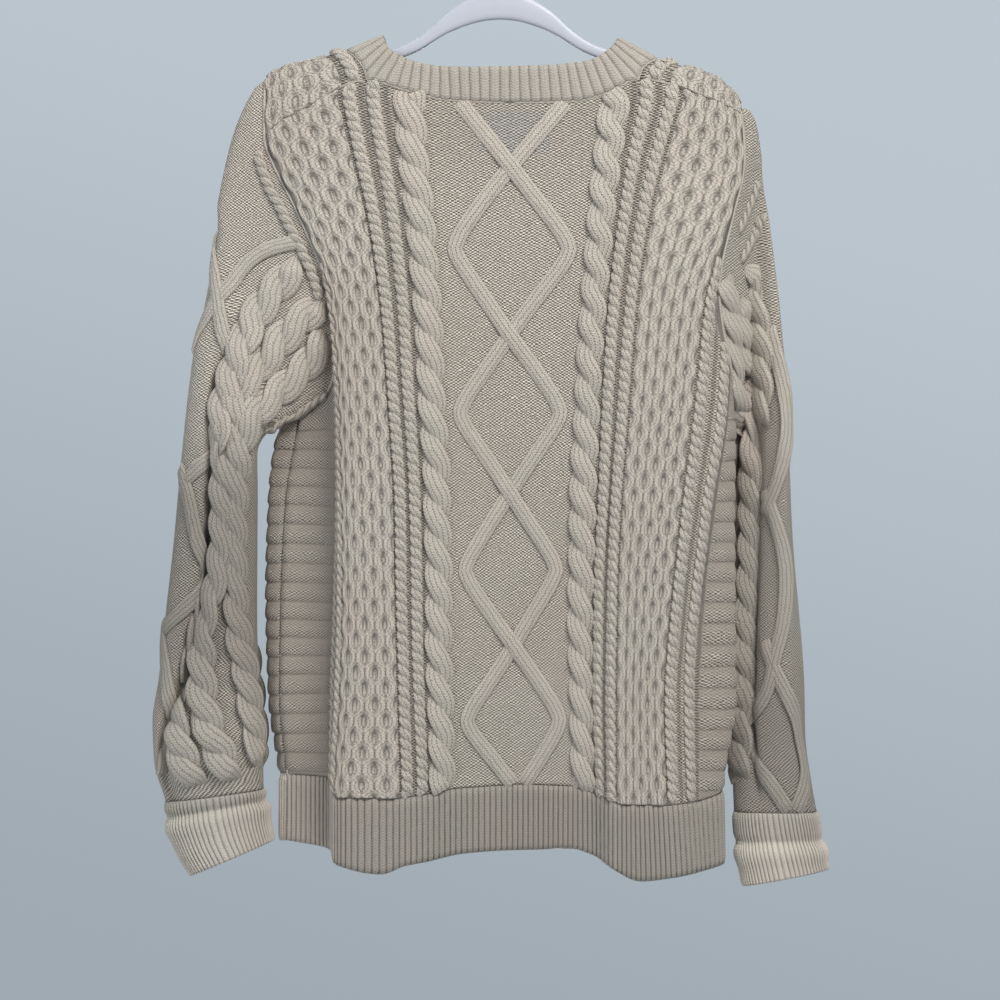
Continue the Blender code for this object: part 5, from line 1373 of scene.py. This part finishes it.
sleeveCable = {
    "cable": {"reach": 5.9, "half": 9.3, "flatness": 0.28, "rest": 1.0, "rise": 2.1, "lobe": 28.6,
              "stitches": 4, "sides": 10, "step": 2.2, "tuck": (3.2, 14.0, 0.55)},
    "rope": {"reach": 2.0, "half": 3.0, "flatness": 0.66, "rest": 0.6, "rise": 1.3, "lobe": 9.0,
             "stitches": 2, "sides": 6, "step": 1.5},
    "diamond": {"reach": 0.0, "half": 6.6, "flatness": 0.34, "rest": 0.9, "rise": 0.0, "lobe": 30.0,
                "stitches": 4, "sides": 10, "step": 3.5},
}
# round this drop the sleeves hang stretched, and their cables lie closer and flatter
slackCable = {"drop": 535.0, "length": 85.0, "flatter": 0.55, "closer": 0.30, "thinner": 0.24}
# lines on the face of each sleeve, x and drop; the face below has the same ones
leftLines = {
    "cable": (
        ((-169, 288), (-187, 309), (-204, 330), (-218, 358), (-226, 384), (-233, 410), (-237, 435),
         (-241, 461), (-243, 490), (-245, 524), (-249, 554), (-255, 575), (-261, 601), (-266, 626),
         (-269, 652), (-273, 677), (-271, 699), (-263, 720), (-256, 736)),
        ((-151, 323), (-167, 337), (-185, 355), (-201, 376), (-218, 395), (-227, 417), (-231, 448),
         (-235, 482), (-236, 516), (-239, 550), (-246, 584), (-252, 618), (-252, 652), (-246, 684),
         (-235, 709), (-227, 731)),
        ((-142, 346), (-153, 359), (-165, 377), (-182, 394), (-200, 410), (-214, 429), (-222, 452),
         (-224, 490), (-224, 533), (-224, 575), (-221, 609), (-215, 643), (-212, 669), (-208, 699),
         (-208, 718)),
    ),
    "rope": (
        ((-139, 394), (-155, 404), (-167, 413), (-183, 425), (-197, 437)),
        ((-206, 195), (-202, 208), (-196, 225), (-187, 241), (-178, 259), (-168, 278), (-159, 299),
         (-152, 320)),
    ),
    "diamond": (
        ((-170, 272), (-186, 275), (-202, 280), (-215, 290), (-224, 303), (-232, 314), (-240, 322),
         (-249, 337), (-258, 353), (-264, 363)),
        ((-247, 246), (-246, 269), (-242, 297), (-239, 322), (-235, 346), (-230, 370), (-233, 393),
         (-237, 422), (-241, 446), (-252, 462), (-266, 475), (-272, 482)),
        ((-272, 462), (-266, 475), (-262, 495), (-258, 518), (-252, 539), (-251, 554), (-255, 569),
         (-265, 582), (-279, 594), (-286, 603)),
        ((-289, 591), (-286, 609), (-283, 635), (-280, 660), (-280, 684), (-286, 705), (-287, 724)),
    ),
}
rightLines = {
    "cable": (
        ((212, 288), (218, 308), (221, 333), (224, 359), (225, 384), (225, 410), (225, 431)),
        ((205, 319), (209, 350), (212, 376), (217, 403), (218, 431), (217, 465), (216, 499), (215, 533),
         (214, 567), (212, 609), (210, 652), (207, 686), (205, 733)),
        ((190, 298), (194, 322), (198, 346), (202, 390), (203, 440), (203, 490), (202, 524), (202, 558),
         (201, 592), (201, 635), (200, 675)),
    ),
    "rope": (
        ((221, 218), (215, 235), (209, 249), (202, 264)),
        ((226, 246), (219, 261), (212, 275), (204, 288)),
    ),
    "diamond": (
        ((231, 342), (236, 363), (241, 384), (244, 405), (245, 431), (243, 454), (238, 473), (231, 493),
         (227, 503)),
        ((227, 611), (230, 621), (235, 635), (241, 649), (248, 662), (254, 679), (259, 701), (261, 722),
         (258, 741), (252, 756)),
        ((227, 482), (231, 493), (237, 512), (242, 530), (245, 554), (244, 584), (240, 609), (235, 626),
         (233, 643), (226, 663), (217, 679), (213, 696), (219, 713), (233, 735), (246, 756)),
    ),
}


def evenLine(knots, step):
    knots = np.array(knots, float)
    length = gone(knots)
    at = np.linspace(0, length[-1], max(4, int(length[-1] / step)))
    return np.stack([smoothCurve(length, knots[:, 0], at), -smoothCurve(length, knots[:, 1], at)], -1)


def eased(rows, rounds=3):
    for _ in range(rounds):
        rows[1:-1] = (rows[:-2] + 2 * rows[1:-1] + rows[2:]) / 4
    return rows


search = {"angles": 70, "rows": 150, "edge": 0.1, "firstAt": 0.05, "rounds": 4, "smoothing": 12,
          "angleStep": 0.02, "rowStep": 0.05, "mostAngle": 0.08, "mostRow": 0.3,
          "angleEdge": 0.06, "firstRow": 0.03, "lastRow": 0.05, "leastArea": 1}


def underLine(tube, line, face):  # the angle and row that lie under each point of a line
    last, edge = len(tube.rows) - 1, search["edge"]
    angle, j = np.meshgrid(np.linspace(edge, math.pi - edge, search["angles"]),
                           np.linspace(search["firstAt"], last - edge, search["rows"]))
    angle, j = angle.ravel(), j.ravel()

    def seen(a, row):
        return tube.point(face * a, row)[:, [0, 2]]

    best = np.argmin(((line[:, None, :] - seen(angle, j)[None]) ** 2).sum(-1), axis=1)
    a, row = angle[best], j[best]
    turn, move = search["angleStep"], search["rowStep"]
    for _ in range(search["rounds"]):  # a few steps towards the line from the nearest place of the net
        here = seen(a, row)
        da = (seen(a + turn, row) - here) / turn
        dj = (seen(a, row + move) - here) / move
        miss = line - here
        area = da[:, 0] * dj[:, 1] - da[:, 1] * dj[:, 0]
        area = np.where(np.abs(area) < search["leastArea"], search["leastArea"], area)
        aStep = (miss[:, 0] * dj[:, 1] - miss[:, 1] * dj[:, 0]) / area
        rowStep = (da[:, 0] * miss[:, 1] - da[:, 1] * miss[:, 0]) / area
        a = a + np.clip(aStep, -search["mostAngle"], search["mostAngle"])
        a = np.clip(a, search["angleEdge"], math.pi - search["angleEdge"])
        row = row + np.clip(rowStep, -search["mostRow"], search["mostRow"])
        row = np.clip(row, search["firstRow"], last - search["lastRow"])
    return face * eased(a, search["smoothing"]), eased(row, search["smoothing"])


def sleevePaths(tube, lines, spec, turns, phase):
    paths = []
    twisted = len(turns) > 1
    for number, knots in enumerate(lines):
        for face in (1, -1):
            angle, j = underLine(tube, evenLine(knots, spec["step"]), face)
            middle, n = eased(tube.point(angle, j)), unit(eased(tube.out(angle, j)))
            side = unit(np.cross(n, np.gradient(middle, axis=0)))
            slack = np.exp(-((middle[:, 2] + slackCable["drop"]) / slackCable["length"]) ** 2) * twisted
            for turn in turns:
                wind = math.pi * gone(middle) / spec["lobe"] + turn + phase + number
                height = spec["rest"] + spec["rise"] * np.sin(wind) * (1 - slackCable["flatter"] * slack)
                reach = spec["reach"] * np.cos(wind) * (1 - slackCable["closer"] * slack)
                half = spec["half"] * (1 + strandWays["fatter"] * np.sin(wind) * twisted)
                points = middle - side * reach[:, None] + n * height[:, None]
                paths.append((points, n, half * (1 - slackCable["thinner"] * slack)))
    return paths


def sleeveCords(prefix, tube, lines, wool):
    made = []
    for kind, turns in (("cable", (0, math.pi)), ("rope", (0, math.pi)), ("diamond", (0,))):
        if lines[kind]:
            paths = sleevePaths(tube, lines[kind], sleeveCable[kind], turns, strandWays["sleevePhase"])
            made.append(cords(prefix + "_" + kind + "s", paths, sleeveCable[kind], wool))
    print(prefix, "cables wound:", sum(len(p.data.polygons) for p in made), "faces")
    return made


leftSleeveCables = sleeveCords("left_sleeve", leftTube, leftLines, finishes["left sleeve cable wool"])
rightSleeveCables = sleeveCords("right_sleeve", rightTube, rightLines, finishes["right sleeve cable wool"])

# seams
seam = {"half": 1.1, "armholeHalf": 1.7, "flatness": 0.85, "stitches": 1, "sides": 6,
        "sideTuck": 0.7, "sideStart": 2, "sideEnd": 730, "lean": 15, "neckDip": 0.6,
        "armholeUp": 0.2, "shoulderFace": (0, -0.5, 0.86),
        "armholeEnds": (0.01, 1.99), "armholePoints": 150, "sidePoints": 90, "shoulderPoints": 30,
        "neckPoints": 240}


def seamCord(points, face, half):
    n = unit(np.broadcast_to(np.asarray(face, float), points.shape))
    return points, n, np.full(len(points), half)


def seamCords():
    paths = []
    for sign in (-1, 1):
        hole = armholeLoop(sign, np.linspace(*seam["armholeEnds"], seam["armholePoints"]))
        paths.append(seamCord(hole, (sign, 0, seam["armholeUp"]), seam["armholeHalf"]))
        t = np.linspace(form["underarm"] + seam["sideStart"], seam["sideEnd"], seam["sidePoints"])
        down = backPoint(sign * form["seamEdge"], t) - (sign * seam["sideTuck"], 0, 0)
        paths.append(seamCord(down, (sign, 0, 0), seam["half"]))
        out = np.linspace(form["neckStrapS"], form["shoulderS"], seam["shoulderPoints"])
        over = frontPoint(*Front.place(sign * out, 2.0))
        paths.append(seamCord(over, seam["shoulderFace"], seam["half"]))
    ring = np.vstack(neckSeam())
    apart = np.concatenate([[True], np.diff(gone(ring)) > touch])     # stretches share end points
    ring = along(ring[apart], np.linspace(0, 1, seam["neckPoints"]))
    lean = np.clip(ring[:, 1] / seam["lean"], -1, 1)
    face = np.stack([0 * lean, lean, 1 - seam["neckDip"] * np.abs(lean)], -1)
    paths.append(seamCord(ring, face, seam["half"]))
    return cords("seam_cords", paths, seam, finishes["cable knit wool"])


seams = seamCords()
print("seams sewn")

# label and hanger
label = {"halfWidth": 25.0, "top": 162.0, "height": 36.0, "behind": 3.1, "thick": 0.7,
         "colour": (0.62, 0.62, 0.61), "paleThread": (0.70, 0.70, 0.69), "threads": (0.35, 0.3),
         "paler": 0.3, "relief": 0.1, "columns": 15, "rows": 11}


def labelFinish():
    made = Finish("label tape", Roughness=0.75)
    u, v = made.uv()
    across, along = label["threads"]
    weave = (u / (across * mm)).cosTurns() * (v / (along * mm)).cosTurns() * 0.5 + 0.5
    colour = made.blend(weave * label["paler"], label["colour"], label["paleThread"])
    return made.finish(colour, weave, label["relief"] * mm)


def neckLabel():
    s = np.linspace(-label["halfWidth"], label["halfWidth"], label["columns"])[None, :]
    t = np.linspace(label["top"], label["top"] + label["height"], label["rows"])[:, None]
    s, t = np.broadcast_arrays(s, t)
    n = facesOf(Back, s, t)
    base = backPoint(s, t) - n * label["behind"]
    uv = np.stack([s, t], -1) * mm
    return sheetShell("label_tape", base, base - n * label["thick"], uv, labelFinish())


labelTape = neckLabel()

tacks = {"half": 0.35, "flatness": 1.0, "stitches": 1, "sides": 6, "length": 2.6, "points": 7,
         "across": 0.6, "down": 0.8, "proud": 1.0, "arch": 0.35, "relief": 0.1,
         "dark": (0.055, 0.050, 0.048), "worn": (0.16, 0.15, 0.14), "ply": (0.5, 0.6), "paler": 0.3,
         "at": ((-20, 163.5), (-19, 196), (23.5, 163), (24, 195.5), (-20.5, 172), (24.5, 181))}


def labelTacks():
    thread = Finish("tacking thread", Roughness=0.8)
    u, v = thread.uv()
    girth, length = tacks["ply"]
    ply = (v / (length * mm) + u / (girth * mm)).cosTurns() * 0.5 + 0.5
    colour = thread.blend(ply * tacks["paler"], tacks["dark"], tacks["worn"])
    dark = thread.finish(colour, ply, tacks["relief"] * mm)
    paths = []
    for number, (s, t) in enumerate(tacks["at"]):
        for lean in (-1, 1):
            reach = np.linspace(-0.5, 0.5, tacks["points"]) * tacks["length"]
            across = s + reach * tacks["across"] * lean + number % 2
            down = t + reach * tacks["down"]
            n = facesOf(Back, across, down)
            points = backPoint(across, down) + n * (tacks["proud"] - tacks["arch"] * reach**2)[:, None]
            paths.append((points, n, np.full(len(reach), tacks["half"])))
    return cords("label_tacks", paths, tacks, dark)


labelStitches = labelTacks()

hanger = {     # millimetres from the middle, and below the hook
    "reach": 187, "stations": 181, "bareTo": 115, "underCloth": 3.8,
    "lowX": (115, 132, 148, 177, 187), "low": (0, 4.5, 0, 2, 5),
    "neckX": (0, 12, 28, 45, 60, 72, 84, 100, 115), "neckT": (56, 57, 63, 74, 88, 97, 103, 108, 111),
    "deepX": (0, 12, 28, 45, 60, 84, 172, 182, 187), "deep": (24, 24, 22, 18, 13, 10, 10, 8, 4),
    "halfThick": 4.0, "sides": 20, "boxy": 0.55, "edge": 60,
    "hookRadius": 18.0, "wire": 3.0, "hookFrom": -60.0, "hookSweep": 260.0, "hookSteps": 40, "rodRound": 4,
    "stem": 24, "stemSunk": 6,
    "colour": (0.50, 0.515, 0.575), "greyer": (0.44, 0.455, 0.515),
    "cloud": (60.0, 3.0, 0.5), "cloudFrom": (0.4, 0.7), "cloudGrey": 0.25, "smooth": 0.26, "dull": 0.18,
    "grain": (900.0, 2.0, 0.5), "grainHigh": 0.4, "relief": 0.12, "reliefShows": 0.5,
}


def hangerFinish():
    made = Finish("moulded white plastic", Roughness=0.34, Specular_IOR_Level=0.45)
    cloud, grain = made.noise(*hanger["cloud"]), made.noise(*hanger["grain"])
    grey = cloud.ramp(*hanger["cloudFrom"]) * hanger["cloudGrey"]
    colour = made.blend(grey, hanger["colour"], hanger["greyer"])
    return made.finish(colour, grain * hanger["grainHigh"] + cloud, hanger["relief"] * mm,
                       hanger["reliefShows"], cloud * hanger["dull"] + hanger["smooth"])


def hangerArms():  # a bar with a boxy section, from tip to tip
    x = np.linspace(-hanger["reach"], hanger["reach"], hanger["stations"])
    out = np.abs(x)
    cloth = ridgeDrop(x) + hanger["underCloth"] + np.interp(out, hanger["lowX"], hanger["low"])
    top = np.where(out < hanger["bareTo"], smoothCurve(hanger["neckX"], hanger["neckT"], out), cloth)
    deep = smoothCurve(hanger["deepX"], hanger["deep"], out)
    turns = np.linspace(0, 2 * math.pi, hanger["sides"], endpoint=False)
    up, side = (np.sign(wave) * np.abs(wave) ** hanger["boxy"] for wave in (np.cos(turns), np.sin(turns)))
    down = top[:, None] + deep[:, None] * ((1 - up) / 2)[None, :]
    ring = np.stack(np.broadcast_arrays(x[:, None], side[None, :] * hanger["halfThick"], -down), -1)
    index = np.arange(ring.shape[0] * ring.shape[1]).reshape(ring.shape[:2])
    index = np.hstack([index, index[:, :1]])
    faces = fourCorners(index).reshape(-1, 4).tolist()
    faces += [index[0, :-1].tolist(), index[-1, :-1][::-1].tolist()]
    mesh = bpy.data.meshes.new("hanger_moulding")
    mesh.from_pydata((ring.reshape(-1, 3) * mm).tolist(), [], faces)
    return mesh


def hangerHook():
    radius, wire = hanger["hookRadius"], hanger["wire"]
    route = [(0.0, -(hanger["neckT"][0] + hanger["stemSunk"])), (0.0, -(radius + hanger["stem"]))]
    for turn in np.radians(hanger["hookFrom"] + np.linspace(0, hanger["hookSweep"], hanger["hookSteps"])):
        route.append(((radius + wire) * math.cos(turn), (radius + wire) * math.sin(turn) - radius))
    curve = bpy.data.curves.new("hook", "CURVE")
    curve.dimensions = "3D"
    curve.bevel_depth = wire * mm
    curve.bevel_resolution = hanger["rodRound"]
    curve.use_fill_caps = True
    spline = curve.splines.new("POLY")
    spline.points.add(len(route) - 1)
    for knot, (across, up) in zip(spline.points, route):
        knot.co = (across * mm, 0, up * mm, 1)
    return settled(linked("hook_curve", curve), "hook")


def hangerPiece():
    mesh, hook = hangerArms(), hangerHook()
    joined = bmesh.new()
    joined.from_mesh(mesh)
    joined.from_mesh(hook.data)
    bmesh.ops.remove_doubles(joined, verts=joined.verts, dist=1e-6)
    bmesh.ops.recalc_face_normals(joined, faces=joined.faces)
    joined.to_mesh(mesh)
    joined.free()
    bpy.data.objects.remove(hook)
    mesh.materials.append(hangerFinish())
    mesh.shade_smooth()
    mesh.set_sharp_from_angle(angle=math.radians(hanger["edge"]))
    return linked("hanger_moulding", mesh)


hangerMoulding = hangerPiece()
print("label and hanger made")

# what rides, what is replaced, and a table of the cloth pieces
clothPieces = {
    # piece: node, slot, flat width and length, area, what goes with it
    backSheet: ("back_panel", "knit", (0.452, 0.620), 0.262, backCables + [seams, labelStitches]),
    frontSheet: ("front_panel", "knit", (0.452, 0.690), 0.270, frontCables),
    leftSleeveCloth: ("left_sleeve", "knit", (0.330, 0.560), 0.150, leftSleeveCables),
    rightSleeveCloth: ("right_sleeve", "knit", (0.330, 0.560), 0.130, rightSleeveCables),
    neckRibbing: ("neckband", "rib", (0.560, 0.036), None, []),
    backHemRib: ("back_hem_rib", "rib", (0.452, 0.062), None, []),
    frontHemRib: ("front_hem_rib", "rib", (0.452, 0.060), None, []),
    leftCuffRib: ("left_cuff", "rib", (0.210, 0.060), None, []),
    rightCuffRib: ("right_cuff", "rib", (0.190, 0.060), None, []),
    labelTape: ("neck_label", "label", (0.052, 0.036), None, []),
}
for piece, (node, slotName, flat, area, extras) in clothPieces.items():
    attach(piece, "root")
    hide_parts(node)
    for extra in extras:
        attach(extra, "root")
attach(hangerMoulding, "root")
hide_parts("hanger")

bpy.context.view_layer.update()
total = sum(len(p.vertices) - 2 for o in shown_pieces() for p in o.data.polygons)
print("triangles:", total)
